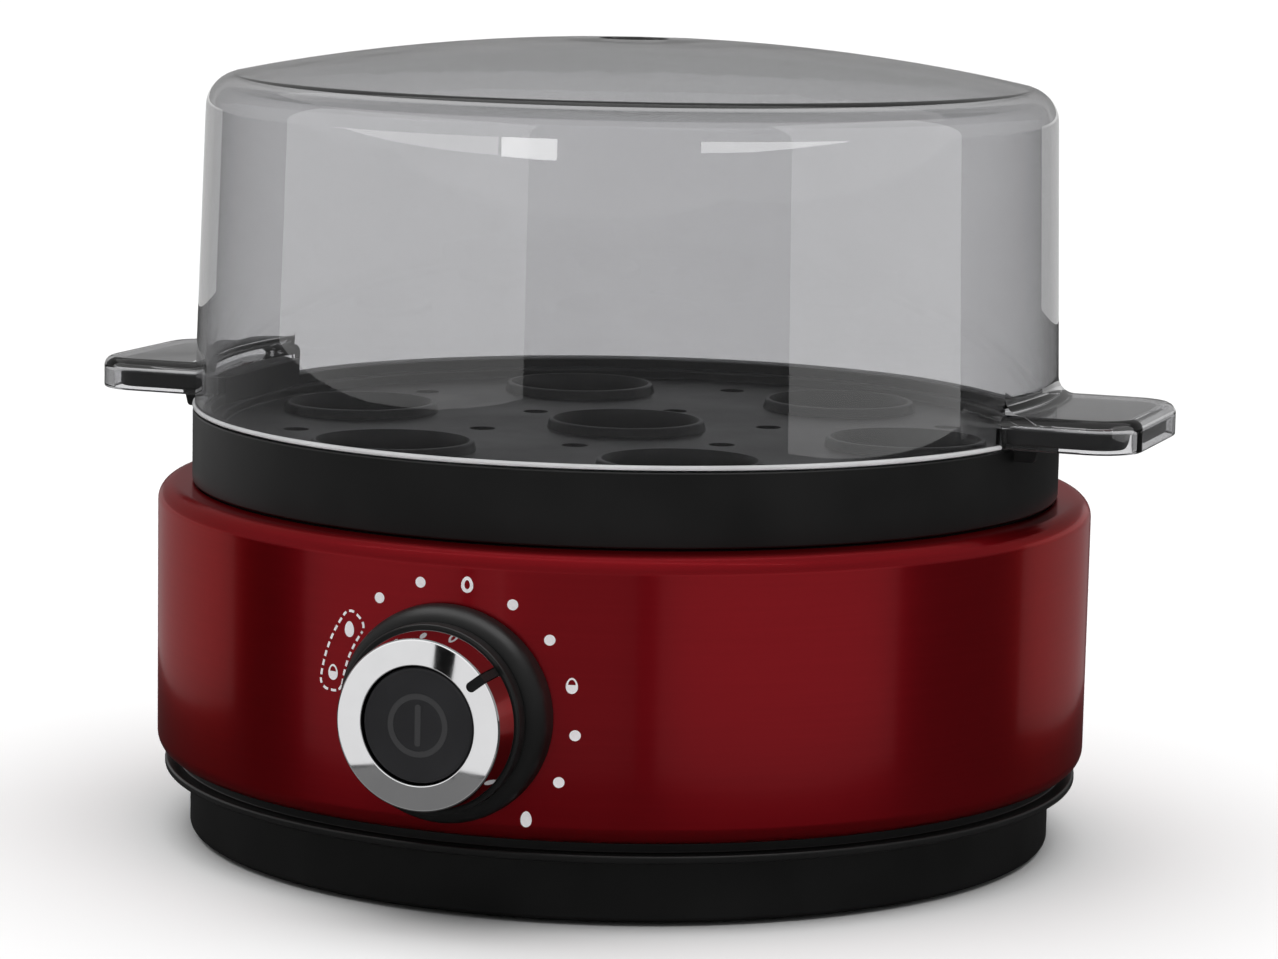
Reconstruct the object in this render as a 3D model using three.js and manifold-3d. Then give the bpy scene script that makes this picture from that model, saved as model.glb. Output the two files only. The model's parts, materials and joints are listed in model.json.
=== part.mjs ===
// Electric egg cooker: a round base with a heated bowl, a seven-seat egg tray and a clear lid.
// Millimetres, +Z up, knob at the front on -Y. The origin is at the bottom, in the middle of the
// whole object's box, so the body's axis of revolution stands a little behind it.

import * as THREE from 'three';
import { mergeVertices } from 'three/addons/utils/BufferGeometryUtils.js';
import Module from 'manifold-3d';

const wasm = await Module();
wasm.setup();

// ---------------------------------------------------------------- driving dimensions

const BODY_RADIUS = 93.0;            // red housing, its widest radius
const RING_RADIUS = 86.3;            // foot ring below and tray ring above the housing
const KNOB_REACH = 106.4;            // knob's front face, from the body's axis
const HANDLE_REACH = 108.5;          // outer end of a lid handle, from the body's axis
const FOOT_STAND = 0.8;              // rubber feet stand proud of the foot ring
const AXIS_Y = (KNOB_REACH - BODY_RADIUS) / 2;

const FOOT_RING_TOP = 12.15;         // heights from here on are above the foot ring's lower edge
const FLANGE_RADIUS = 91.4;
const FLANGE_TOP = 13.75;
const FLOOR_BOTTOM = 10.4;
const FLOOR_TOP = 12.8;
const FOOT_WALL = 2.5;
const SHELL_BOTTOM = 15.7;
const SHELL_TOP = 69.0;
const SHELL_WALL = 1.0;
const SHELL_MOUTH = 85.6;            // the housing's top face runs in this far
const SHELF_RADIUS = 77.0;           // hole in the inner frame's shelf, where the bowl hangs
const FRAME_WALL = 1.8;
const SHOULDER = 3.6;                // round on the housing's top edge
const HEM = 3.4;                     // round on its lower edge
const GAP = 0.3;                     // clearance between neighbouring pieces

const TRAY_BOTTOM = SHELL_TOP + GAP;
const TRAY_TOP = 83.4;
const PLATE_TOP = 80.4;
const PLATE_THICK = 2.0;
const SEAT_RADIUS = 14.0;            // egg seat hole
const SEAT_CIRCLE = 58.0;            // six seats on this circle, one more in the middle
const SEAT_LIP = 1.8;

const LID_BOTTOM = TRAY_TOP + 0.2;
const LID_WALL = 1.8;
const LID_FOOT_RADIUS = 86.0;
const LID_SHOULDER_RADIUS = 84.1;    // where the wall meets the shoulder round
const LID_SHOULDER_Z = 143.0;
const LID_FILLET = 6.85;
const DOME_EDGE = 78.64;
const DOME_EDGE_Z = 149.75;
const LID_TOP = 157.7;
const VENT_DISH = 6.0;               // shallow dish with the steam holes
const VENT_DEPTH = 0.7;

const HANDLE_HALF = 22.0;            // half the width of a lid handle
const HANDLE_BOTTOM = 83.8;
const HANDLE_TOP = 90.2;
const HANDLE_WALL = 2.0;
const HANDLE_CORNER = 9.0;
const DOORWAY_HALF = 19.2;           // opening in the lid's wall for the tray's grip
const GRIP_HALF = 18.4;              // half the width of a tray grip, inside the lid handle
const GRIP_REACH = 105.2;
const GRIP_BOTTOM = 84.3;
const GRIP_TOP = 87.9;

const BOWL_RIM = 83.4;
const BOWL_RADIUS = 75.6;
const BOWL_WALL = 1.2;
const BOWL_FLOOR = 52.0;             // underside of the heated floor
const BOWL_CORNER = 9.0;

const KNOB_Z = 38.8;                 // height of the knob's axis
const KNOB_RADIUS = 15.64;           // chrome ring at its front face
const KNOB_REAR_RADIUS = 16.75;
const KNOB_BORE = 10.9;
const KNOB_REAR = 100.9;
const COLLAR_RADIUS = 17.5;
const BEZEL_RADIUS = 20.2;
const BEZEL_FRONT = 97.3;
const BEZEL_BORE = 13.4;
const SLEEVE_RADIUS = 13.0;
const SHELL_HOLE = 18.8;
const POINTER_ANGLE = 52.4;          // degrees clockwise from up, seen from the front
const POINTER_WIDTH = 1.5;
const BUTTON_RADIUS = 10.6;
const BUTTON_FRONT = 106.0;
const BOARD_FRONT = 75.6;            // control board's front face, from the body's axis

const ROUND = 36;                    // steps around the big turned pieces
const MEDIUM = 24;
const SMALL = 12;
const TINY = 8;
const SCREW_STEPS = 6;
const SEAT_STEPS = 16;

// ---------------------------------------------------------------- materials

const paint = (color, roughness, metalness = 0) => ({ color, roughness, metalness });
const LOOKS = {
  lacquer: paint(0x8c1420, 0.28, 0.75),
  black: paint(0x1c1c1c, 0.42),
  clear: { ...paint(0xb4b6ba, 0.06), transparent: true, opacity: 0.35 },
  chrome: paint(0xe6e6e8, 0.06, 1),
  button: paint(0x2c2c2e, 0.4),
  rubber: paint(0x151515, 0.8),
  silicone: paint(0x6d7074, 0.6),
  steel: paint(0xb9bcc0, 0.3, 1),
  aluminium: paint(0xc8cacc, 0.4, 0.9),
  board: paint(0x1d5a34, 0.5),
  component: paint(0x30333a, 0.5),
  nylon: paint(0xd8d5cc, 0.55),
  wire: paint(0xd0ccc4, 0.6),
};

// ---------------------------------------------------------------- shape helpers

const radians = THREE.MathUtils.degToRad;

/** Closed mesh with merged corners and no collapsed triangles. */
function closed(geometry) {
  const bare = geometry.index ? geometry.clone() : mergeVertices(geometry, 1e-4);
  bare.deleteAttribute('normal');
  bare.deleteAttribute('uv');
  const merged = mergeVertices(bare, 1e-4);
  const source = merged.index.array;
  const kept = [];
  for (let i = 0; i < source.length; i += 3) {
    const [a, b, c] = [source[i], source[i + 1], source[i + 2]];
    if (a !== b && b !== c && c !== a) kept.push(a, b, c);
  }
  merged.setIndex(kept);
  return merged;
}

function solid(geometry) {
  const mesh = closed(geometry);
  const triVerts = Uint32Array.from(mesh.index.array);
  const vertProperties = Float32Array.from(mesh.attributes.position.array);
  return new wasm.Manifold(new wasm.Mesh({ numProp: 3, vertProperties, triVerts }));
}

function shell(manifold) {
  const mesh = manifold.getMesh();
  const geometry = new THREE.BufferGeometry();
  geometry.setAttribute('position', new THREE.BufferAttribute(mesh.vertProperties, 3));
  geometry.setIndex(new THREE.BufferAttribute(mesh.triVerts, 1));
  return geometry;
}

/** Adds and cuts pieces: the first geometry, joined with `add` and then cut by each of `cut`. */
function carve(base, { add = [], cut = [] }) {
  let result = solid(base);
  for (const piece of add) result = result.add(solid(piece));
  for (const piece of cut) result = result.subtract(solid(piece));
  return shell(result);
}

/** Turned about Z. Profile points are [radius, height], counter-clockwise. */
function turned(profile, steps = ROUND) {
  const onAxis = profile[0][0] === 0 && profile.at(-1)[0] === 0;
  const loop = onAxis ? profile : [...profile, profile[0]];
  const points = loop.map(([r, z]) => new THREE.Vector2(r, z));
  return new THREE.LatheGeometry(points, steps).rotateX(Math.PI / 2);
}

/** Points on a round of a profile, from one angle to another. */
function round(r, z, radius, from, to, steps) {
  const points = [];
  for (let i = 0; i <= steps; i += 1) {
    const angle = radians(from + ((to - from) * i) / steps);
    points.push([r + radius * Math.cos(angle), z + radius * Math.sin(angle)]);
  }
  return points;
}

const rod = (radius, z0, z1, steps = SMALL) =>
  turned([[0, z0], [radius, z0], [radius, z1], [0, z1]], steps);

const ring = (inner, outer, z0, z1, steps = MEDIUM) =>
  turned([[inner, z0], [outer, z0], [outer, z1], [inner, z1]], steps);

const block = (x0, x1, y0, y1, z0, z1) =>
  new THREE.BoxGeometry(x1 - x0, y1 - y0, z1 - z0)
    .translate((x0 + x1) / 2, (y0 + y1) / 2, (z0 + z1) / 2);

/** Upright prism on a rounded rectangle. */
function slab(x0, x1, y0, y1, z0, z1, corner, steps = 4) {
  const shape = new THREE.Shape();
  const place = (x, y, start) =>
    shape.absarc(x, y, corner, radians(start), radians(start + 90), false);
  place(x1 - corner, y0 + corner, -90);
  place(x1 - corner, y1 - corner, 0);
  place(x0 + corner, y1 - corner, 90);
  place(x0 + corner, y0 + corner, 180);
  const options = { depth: z1 - z0, bevelEnabled: false, curveSegments: steps };
  return new THREE.ExtrudeGeometry(shape, options).translate(0, 0, z0);
}

/** Flat outline of [x, y] points, extruded from z0 to z1. */
function plate(outline, z0, z1) {
  const shape = new THREE.Shape(outline.map(([x, y]) => new THREE.Vector2(x, y)));
  const options = { depth: z1 - z0, bevelEnabled: false };
  return new THREE.ExtrudeGeometry(shape, options).translate(0, 0, z0);
}

/** Round tube along a smooth line through points. */
function tube(points, radius, steps, sides) {
  const path = new THREE.CatmullRomCurve3(points.map((p) => new THREE.Vector3(...p)));
  const shape = new THREE.Shape().absarc(0, 0, radius, 0, 2 * Math.PI, false);
  const options = { extrudePath: path, steps, curveSegments: sides / 2, bevelEnabled: false };
  return new THREE.ExtrudeGeometry(shape, options);
}

const polar = (radius, degrees) =>
  [radius * Math.cos(radians(degrees)), radius * Math.sin(radians(degrees))];

const around = (count, radius, first = 0) =>
  Array.from({ length: count }, (_, i) => polar(radius, first + (360 * i) / count));

// ---------------------------------------------------------------- assembly helpers

const cooker = new THREE.Group();
const upright = new THREE.Group();   // centred on the body's axis, foot ring's edge at zero
upright.position.set(0, AXIS_Y, FOOT_STAND);
const dial = new THREE.Group();      // X right, Y up, Z outwards from the body's axis
dial.position.set(0, 0, KNOB_Z);
dial.rotation.x = Math.PI / 2;
upright.add(dial);
cooker.add(upright);

function put(name, look, geometry, group = upright) {
  const mesh = new THREE.Mesh(closed(geometry), new THREE.MeshStandardMaterial(LOOKS[look]));
  mesh.name = name;
  group.add(mesh);
  return mesh;
}

/** Pan-head screw pointing up, its head's upper face at height z. */
function screw(name, [x, y], z, length, headRadius = 2.8, shankRadius = 1.2, headHeight = 1.6) {
  const profile = [
    [0, z - headHeight], [headRadius, z - headHeight * 0.6], [headRadius, z],
    [shankRadius, z], [shankRadius, z + length], [0, z + length],
  ];
  put(name, 'steel', turned(profile, SCREW_STEPS).translate(x, y, 0));
}

/** The same screw pointing down, its head's lower face at height z. */
function screwDown(name, [x, y], z, length, headRadius = 2.6, shankRadius = 1.2, headHeight = 1.5) {
  const profile = [
    [0, z - length], [shankRadius, z - length], [shankRadius, z], [headRadius, z],
    [headRadius, z + headHeight * 0.6], [0, z + headHeight],
  ];
  put(name, 'steel', turned(profile, SCREW_STEPS).translate(x, y, 0));
}

// ---------------------------------------------------------------- base: casing

const FOOT_PLACES = around(4, 72, 45);
const SHELL_SCREWS = around(3, 80, 90);
const SHIELD_SCREWS = around(3, 60, 60);
const REEL_SCREWS = [[-16, 0], [16, 0]];
const BOARD_SCREWS = [[-34, -16], [34, -16], [34, 22], [-34, 22]];
const CLAMP_SCREWS = [[-9.5, 45], [9.5, 45]];
const GLAND = [0, 60];
const CLEAR_HOLE = 1.6;
const PILOT_HOLE = 1.5;

const FOOT_BOSS_BOTTOM = 1.2;
const FOOT_STEM = 2.5;
const FOOT_STEM_TOP = 6.5;
const POST_TOP = 17.7;
const SHIELD_POST_TOP = 33.5;
const CLAMP_POST_TOP = 14.5;
const CORD_NOTCH_HALF = 4.5;
const CORD_NOTCH_TOP = 7.5;
const SPIGOT_RADIUS = 88.8;          // ring on the floor, standing inside the housing
const SPIGOT_WALL = 1.9;
const SPIGOT_TOP = 19;
const GLAND_HOLE = 5.2;
const BOARD_THICK = 1.6;             // both circuit boards
const CONTROL_BOARD_HALF = 26;
const CONTROL_BOARD_BOTTOM = FLOOR_TOP + 5.5;
const SHELL_BOSS = 3.2;
const SHELL_PILOT_TOP = 26;

/** Opening for the knob through a wall of the housing. */
const knobHole = (radius) =>
  rod(radius, 0, KNOB_REACH, MEDIUM).rotateX(Math.PI / 2).translate(0, 0, KNOB_Z);

function housingShell() {
  const top = BODY_RADIUS - SHOULDER;
  const foot = BODY_RADIUS - 0.1 - HEM;
  const body = turned([
    ...round(foot, SHELL_BOTTOM + HEM, HEM, -90, 0, 2),
    ...round(top, SHELL_TOP - SHOULDER, SHOULDER, 0, 90, 3),
    [SHELL_MOUTH, SHELL_TOP], [SHELL_MOUTH, SHELL_TOP - SHELL_WALL],
    ...round(top, SHELL_TOP - SHOULDER, SHOULDER - SHELL_WALL, 90, 0, 2),
    ...round(foot, SHELL_BOTTOM + HEM, HEM - SHELL_WALL, 0, -90, 1),
  ]);
  put('housing_shell', 'lacquer', carve(body, { cut: [knobHole(SHELL_HOLE)] }));
}

/** Moulding inside the housing: it carries the bowl and the tray, and takes the floor's screws. */
function innerFrame() {
  const outer = BODY_RADIUS - SHELL_WALL - 1;
  const bottom = SPIGOT_TOP + 1;
  const under = SHELL_TOP - SHOULDER - 1;
  const shelf = SHELL_TOP - SHELL_WALL - GAP;
  const lip = SHELL_MOUTH - GAP;
  const body = turned([
    [outer - FRAME_WALL, bottom], [outer, bottom], [outer, under], [lip + 3, shelf], [lip, shelf],
    [lip, SHELL_TOP], [SHELF_RADIUS, SHELL_TOP], [SHELF_RADIUS, shelf - FRAME_WALL],
    [lip + 2, shelf - FRAME_WALL], [outer - FRAME_WALL, under - FRAME_WALL],
  ]);
  const bosses = [];
  const pilots = [];
  for (const [x, y] of SHELL_SCREWS) {
    bosses.push(rod(SHELL_BOSS, FLOOR_TOP + GAP, SHELL_TOP - 1, TINY).translate(x, y, 0));
    pilots.push(rod(PILOT_HOLE, FLOOR_TOP, SHELL_PILOT_TOP, TINY).translate(x, y, 0));
  }
  const cut = [...pilots, knobHole(SHELL_HOLE + 0.4)];
  put('inner_frame', 'black', carve(body, { add: bosses, cut }));
}

function basePlate() {
  const edge = 0.7;
  const footBore = RING_RADIUS - FOOT_WALL;
  const spigotBore = SPIGOT_RADIUS - SPIGOT_WALL;
  const body = turned([
    [0, FLOOR_BOTTOM], [footBore, FLOOR_BOTTOM], [footBore, 0], [RING_RADIUS - edge, 0],
    [RING_RADIUS, edge], [RING_RADIUS, FOOT_RING_TOP], [FLANGE_RADIUS, FOOT_RING_TOP],
    [FLANGE_RADIUS, FLANGE_TOP], [SPIGOT_RADIUS, FLANGE_TOP], [SPIGOT_RADIUS, SPIGOT_TOP],
    [spigotBore, SPIGOT_TOP], [spigotBore, FLOOR_TOP], [0, FLOOR_TOP],
  ]);
  const add = [];
  const cut = [block(-CORD_NOTCH_HALF, CORD_NOTCH_HALF, 80, 90, -1, CORD_NOTCH_TOP)];

  /** Round post with a blind hole for a screw or a foot's stem. */
  const post = ([x, y], radius, [bottom, top], hole, [holeBottom, holeTop]) => {
    add.push(rod(radius, bottom, top, TINY).translate(x, y, 0));
    cut.push(rod(hole, holeBottom, holeTop, TINY).translate(x, y, 0));
  };
  const rooted = FLOOR_BOTTOM + 1;
  const blind = FLOOR_TOP - 1.2;
  for (const at of FOOT_PLACES) {
    post(at, 8, [FOOT_BOSS_BOTTOM, FLOOR_TOP - 1], FOOT_STEM + GAP, [0, FOOT_STEM_TOP + GAP]);
  }
  for (const at of REEL_SCREWS) post(at, 3.5, [4.3, FLOOR_TOP - 1], PILOT_HOLE, [4, 9.8]);
  for (const at of BOARD_SCREWS) post(at, 2.8, [rooted, POST_TOP], PILOT_HOLE, [blind, POST_TOP + 1]);
  for (const at of SHIELD_SCREWS) {
    post(at, 3.2, [rooted, SHIELD_POST_TOP], PILOT_HOLE, [SHIELD_POST_TOP - 11.5, SHIELD_POST_TOP + 1]);
  }
  for (const at of CLAMP_SCREWS) post(at, 3.2, [rooted, CLAMP_POST_TOP], PILOT_HOLE, [blind, 15]);
  for (const [x, y] of SHELL_SCREWS) cut.push(rod(CLEAR_HOLE, 0, 20, TINY).translate(x, y, 0));
  cut.push(rod(GLAND_HOLE, 0, 20, SMALL).translate(...GLAND, 0));

  const groove = [-BOARD_FRONT - GAP, -BOARD_FRONT + BOARD_THICK + GAP];
  const middle = CONTROL_BOARD_HALF + 1;
  for (const side of [-1, 1]) {
    const stand = block(-2.5, 2.5, -78.5, -71.2, FLOOR_TOP - 1, 26).translate(side * middle, 0, 0);
    const slot = block(-3.15, 3.15, ...groove, CONTROL_BOARD_BOTTOM - GAP, 27);
    add.push(stand);
    cut.push(slot.translate(side * (CONTROL_BOARD_HALF + GAP - 3.15), 0, 0));
  }
  put('base_plate', 'black', carve(body, { add, cut }));
}

function rubberFeet() {
  const pad = 7;
  const top = FOOT_BOSS_BOTTOM - GAP;
  const profile = [
    [0, -FOOT_STAND], [pad - 0.6, -FOOT_STAND], [pad, -FOOT_STAND + 0.6], [pad, top],
    [FOOT_STEM, top], [FOOT_STEM, FOOT_STEM_TOP], [0, FOOT_STEM_TOP],
  ];
  FOOT_PLACES.forEach(([x, y], i) => {
    put(`rubber_foot_${i + 1}`, 'rubber', turned(profile, SMALL).translate(x, y, 0));
  });
}

function shellScrews() {
  SHELL_SCREWS.forEach((at, i) => screw(`shell_screw_${i + 1}`, at, FLOOR_BOTTOM - GAP, 14));
}

function cordReel() {
  const drum = 34;
  const rim = 44;
  const wall = 2;
  const bottom = 2;
  const body = turned([
    [0, bottom], [rim - 0.5, bottom], [rim, bottom + 0.5], [rim, bottom + wall],
    [drum, bottom + wall], [drum, FLOOR_BOTTOM - GAP], [drum - wall, FLOOR_BOTTOM - GAP],
    [drum - wall, bottom + wall], [0, bottom + wall],
  ], MEDIUM);
  const holes = REEL_SCREWS.map(([x, y]) => rod(CLEAR_HOLE, 0, 5, TINY).translate(x, y, 0));
  put('cord_reel', 'black', carve(body, { cut: holes }));
  REEL_SCREWS.forEach((at, i) => screw(`reel_screw_${i + 1}`, at, bottom - GAP, 7.5));
}

function cordInlet() {
  const bore = 3.4;
  const bush = turned([
    [bore, 8], [7, 8], [7, FLOOR_BOTTOM - GAP], [4.9, FLOOR_BOTTOM - GAP], [4.9, FLOOR_TOP + GAP],
    [6.2, FLOOR_TOP + GAP], [5.4, 15], [bore, 15],
  ], SMALL);
  put('cord_gland', 'rubber', bush.translate(...GLAND, 0));

  const seat = CLAMP_POST_TOP + GAP;
  const lift = 4.2;
  const outer = round(0, seat + lift, 4.6, 180, 0, 6);
  const inner = round(0, seat + lift, 3.2, 0, 180, 6);
  const strap = plate([
    [-13, seat], [-3.2, seat], ...inner.toReversed(), [3.2, seat], [13, seat], [13, seat + 2],
    [4.6, seat + 2], ...outer.toReversed(), [-4.6, seat + 2], [-13, seat + 2],
  ], -3.5, 3.5).rotateX(Math.PI / 2).translate(0, CLAMP_SCREWS[0][1], 0);
  const holes = CLAMP_SCREWS.map(([x, y]) => rod(CLEAR_HOLE, 13, 18, TINY).translate(x, y, 0));
  put('cord_clamp', 'nylon', carve(strap, { cut: holes }));
  CLAMP_SCREWS.forEach((at, i) => screwDown(`clamp_screw_${i + 1}`, at, seat + 2 + GAP, 4.8));
}

// ---------------------------------------------------------------- base: electronics

const POWER_BOARD_TOP = POST_TOP + GAP + BOARD_THICK;

function powerBoard() {
  const bottom = POST_TOP + GAP;
  const body = block(-38, 38, -20, 26, bottom, POWER_BOARD_TOP);
  const holes = BOARD_SCREWS.map(([x, y]) => rod(CLEAR_HOLE, 17, 21, TINY).translate(x, y, 0));
  put('power_board', 'board', carve(body, { cut: holes }));
  BOARD_SCREWS.forEach((at, i) => screwDown(`board_screw_${i + 1}`, at, POWER_BOARD_TOP + GAP, 7));

  const base = POWER_BOARD_TOP + GAP;
  put('relay', 'component', slab(-28, -10, -14, -1, base, base + 12, 0.8, 1));
  put('film_capacitor', 'nylon', slab(-4, 4, -15, 3, base, base + 11, 0.8, 1));
  put('inductor', 'aluminium', ring(2.6, 6.4, base, base + 6, SMALL).translate(16, -8, 0));
  put('buzzer', 'component', ring(1.2, 5.5, base, base + 7, SMALL).translate(22, 12, 0));
  const terminals = block(-14, 14, 15, 23, base, base + 9);
  const ways = [-9, -3, 3, 9].map((x) => block(x - 1.8, x + 1.8, 19, 24, base + 2, base + 6));
  put('terminal_block', 'nylon', carve(terminals, { cut: ways }));
}

function controlBoard() {
  const half = CONTROL_BOARD_HALF;
  const back = BOARD_FRONT - BOARD_THICK;
  const board = block(-half, half, -BOARD_FRONT, -back, CONTROL_BOARD_BOTTOM, 50.4);
  put('control_board', 'board', board);
  const front = BOARD_FRONT + GAP;
  put('dial_potentiometer', 'component', ring(8.3, 12.5, front, 81.4, SMALL), dial);
  put('push_switch', 'component', slab(-3, 3, -3, 3, front, 79.7, 0.6, 1), dial);
  put('button_guide', 'nylon', ring(4.6, 5.7, front, 88, SMALL), dial);
}

function leads() {
  const end = POWER_BOARD_TOP + GAP + 10.4;
  for (const [i, side] of [-1, 1].entries()) {
    const route = [
      [side * 3, 19, end], [side * 8, 30, end + 1.3], [side * 17, 47, end + 1.2],
      [side * 22, 56, 34.3], [side * 19, 53, 37.8], [side * 12.4, 44.5, 37.2],
    ];
    put(`heater_lead_${i + 1}`, 'wire', tube(route, 0.9, 10, 6));
  }
}

// ---------------------------------------------------------------- base: heater

const SPREADER_BOTTOM = 48.7;
const SPREADER_RADIUS = 58;
const BRACKET_BOTTOM = 38.6;
const BRACKET_THICK = 1.2;
const BRACKET_POST_BOTTOM = BRACKET_BOTTOM + BRACKET_THICK + 0.4;
const FUSE_RADIUS = 2;
const FUSE_Y = 24;
const FUSE_Z = 45.8;
const BRACKET_SCREWS = [[-17, 0], [17, 0]];

function heatingBowl() {
  const inner = BOWL_RADIUS - BOWL_WALL;
  const rimBottom = SHELL_TOP + 1.3;
  const rimTop = rimBottom + 0.9;
  const corner = BOWL_RADIUS - BOWL_CORNER;
  const profile = [
    [0, BOWL_FLOOR], ...round(corner, BOWL_FLOOR + BOWL_CORNER, BOWL_CORNER, -90, 0, 3),
    [BOWL_RADIUS, rimBottom], [BOWL_RIM, rimBottom], [BOWL_RIM, rimTop], [inner, rimTop],
    ...round(corner, BOWL_FLOOR + BOWL_CORNER, BOWL_CORNER - BOWL_WALL, 0, -90, 3),
    [0, BOWL_FLOOR + BOWL_WALL],
  ];
  put('heating_bowl', 'steel', turned(profile));
  put('bowl_seal', 'silicone', ring(78, 82.6, SHELL_TOP + 0.2, SHELL_TOP + 1.1, ROUND));
}

function heater() {
  const disc = rod(SPREADER_RADIUS, SPREADER_BOTTOM, BOWL_FLOOR - GAP, MEDIUM);
  const posts = BRACKET_SCREWS.map(([x, y]) =>
    rod(3, BRACKET_POST_BOTTOM, SPREADER_BOTTOM + 0.8, TINY).translate(x, y, 0));
  const pilots = BRACKET_SCREWS.map(([x, y]) =>
    rod(PILOT_HOLE, BRACKET_BOTTOM, SPREADER_BOTTOM - 0.7, TINY).translate(x, y, 0));
  put('heat_spreader', 'aluminium', carve(disc, { add: posts, cut: pilots }));

  const radius = 42;
  const height = SPREADER_BOTTOM - 4.1;
  const route = [];
  for (let angle = 110; angle <= 430; angle += 20) route.push([...polar(radius, angle), height]);
  const [first, last] = [route[0], route.at(-1)];
  route.unshift([first[0] + 2.5, first[1] + 3.5, height - 4]);
  route.push([last[0] - 2.5, last[1] + 3.5, height - 4]);
  put('heating_element', 'steel', tube(route, 3.3, 22, 6));
}

function thermostat() {
  put('thermostat', 'component', turned([
    [0, BRACKET_POST_BOTTOM], [6, BRACKET_POST_BOTTOM], [6, 43], [8, 43],
    [8, SPREADER_BOTTOM - GAP], [0, SPREADER_BOTTOM - GAP],
  ], SMALL));
  const strap = block(-21, 21, -4, 4, BRACKET_BOTTOM, BRACKET_BOTTOM + BRACKET_THICK);
  const holes = BRACKET_SCREWS.map(([x, y]) => rod(CLEAR_HOLE, 38, 41, TINY).translate(x, y, 0));
  put('thermostat_bracket', 'steel', carve(strap, { cut: holes }));
  BRACKET_SCREWS.forEach((at, i) => screw(`bracket_screw_${i + 1}`, at, BRACKET_BOTTOM - GAP, 8));

  const fuse = rod(FUSE_RADIUS, -8, 8, SMALL).rotateY(Math.PI / 2);
  put('thermal_fuse', 'nylon', fuse.translate(0, FUSE_Y, FUSE_Z));
  const inner = FUSE_RADIUS + 0.4;
  const outer = inner + 0.8;
  const top = SPREADER_BOTTOM - 0.4;
  const tab = top - 0.9;
  const clip = plate([
    [-8, tab], [-outer, tab], ...round(0, FUSE_Z, outer, 180, 360, 6), [outer, tab], [8, tab], [8, top],
    [inner, top], ...round(0, FUSE_Z, inner, 360, 180, 6), [-inner, top], [-8, top],
  ], -3, 3).rotateX(Math.PI / 2).rotateZ(Math.PI / 2).translate(0, FUSE_Y, 0);
  put('fuse_clip', 'steel', clip);
}

function heatShield() {
  const radius = 68;
  const bottom = SHIELD_POST_TOP + GAP;
  const top = bottom + 0.9;
  const rim = bottom + 4;
  const body = turned([
    [0, bottom], [radius - 1, bottom], [radius, bottom + 0.5], [radius, rim], [radius - 1, rim],
    [radius - 1, top], [0, top],
  ], MEDIUM);
  const cut = SHIELD_SCREWS.map(([x, y]) => rod(CLEAR_HOLE, 33, 36, TINY).translate(x, y, 0));
  for (const side of [-1, 1]) cut.push(rod(3.4, 30, 40, TINY).translate(side * 22, 56, 0));
  put('heat_shield', 'aluminium', carve(body, { cut }));
  SHIELD_SCREWS.forEach((at, i) => screwDown(`shield_screw_${i + 1}`, at, top + GAP, 9));
}

// ---------------------------------------------------------------- base: knob surround

function knobBezel() {
  const shoulder = 3.4;
  const face = turned([
    [BEZEL_BORE, 88], [BEZEL_RADIUS, 88],
    ...round(BEZEL_RADIUS - shoulder, BEZEL_FRONT - shoulder, shoulder, 0, 90, 4),
    [BEZEL_BORE, BEZEL_FRONT],
  ], MEDIUM);
  const body = rod(BODY_RADIUS + GAP, -40, 40, 2 * ROUND).rotateX(Math.PI / 2);
  const sleeve = ring(BEZEL_BORE, SHELL_HOLE - GAP, 86.5, BEZEL_FRONT - 2);
  const saddle = solid(face).subtract(solid(body)).add(solid(sleeve));
  put('knob_bezel', 'black', shell(saddle), dial);
}

// ---------------------------------------------------------------- egg tray and lid

function eggTray() {
  const inner = RING_RADIUS - 2.0;
  const curb = 83.8;
  const curbTop = TRAY_TOP + 0.9;
  const body = turned([
    [0, PLATE_TOP - PLATE_THICK], [inner, PLATE_TOP - PLATE_THICK], [inner, TRAY_BOTTOM],
    [RING_RADIUS - 0.4, TRAY_BOTTOM], [RING_RADIUS, TRAY_BOTTOM + 0.4], [RING_RADIUS, TRAY_TOP - 0.3],
    [RING_RADIUS - 0.3, TRAY_TOP], [curb, TRAY_TOP], [curb, curbTop],
    [curb - 1.4, curbTop], [curb - 1.4, PLATE_TOP], [0, PLATE_TOP],
  ]);
  const seats = [[0, 0], ...around(6, SEAT_CIRCLE)];
  const vents = [...around(6, 29, 30), ...around(6, 66, 30)];
  const lips = seats.map(([x, y]) =>
    ring(SEAT_RADIUS - 1, SEAT_RADIUS + 1.6, PLATE_TOP - 1, PLATE_TOP + SEAT_LIP, SEAT_STEPS)
      .translate(x, y, 0));
  const cut = seats.map(([x, y]) => rod(SEAT_RADIUS, 76, 84, SEAT_STEPS).translate(x, y, 0));
  for (const [x, y] of vents) cut.push(rod(2.6, 76, 84, 6).translate(x, y, 0));

  const add = [...lips];
  const root = curb - 3.3;
  const gussetInner = RING_RADIUS - 1.8;
  const gussetTop = GRIP_BOTTOM + 1;
  const gussetLine = [
    [gussetInner, 81], [RING_RADIUS + 2.3, 81], [RING_RADIUS + 3.3, gussetTop], [gussetInner, gussetTop],
  ];
  for (const turn of [0, Math.PI]) {
    const tongue = slab(root, GRIP_REACH, -GRIP_HALF, GRIP_HALF, GRIP_BOTTOM, GRIP_TOP, 2.5, 2);
    const upstand = block(root, curb - 0.3, -GRIP_HALF, GRIP_HALF, PLATE_TOP - 1, GRIP_TOP - 0.5);
    add.push(tongue.rotateZ(turn), upstand.rotateZ(turn));
    for (const y of [-16, 16]) {
      const gusset = plate(gussetLine, -1.1, 1.1).rotateX(Math.PI / 2).translate(0, y, 0);
      add.push(gusset.rotateZ(turn));
    }
  }
  put('egg_tray', 'black', carve(body, { add, cut }));
}

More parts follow.
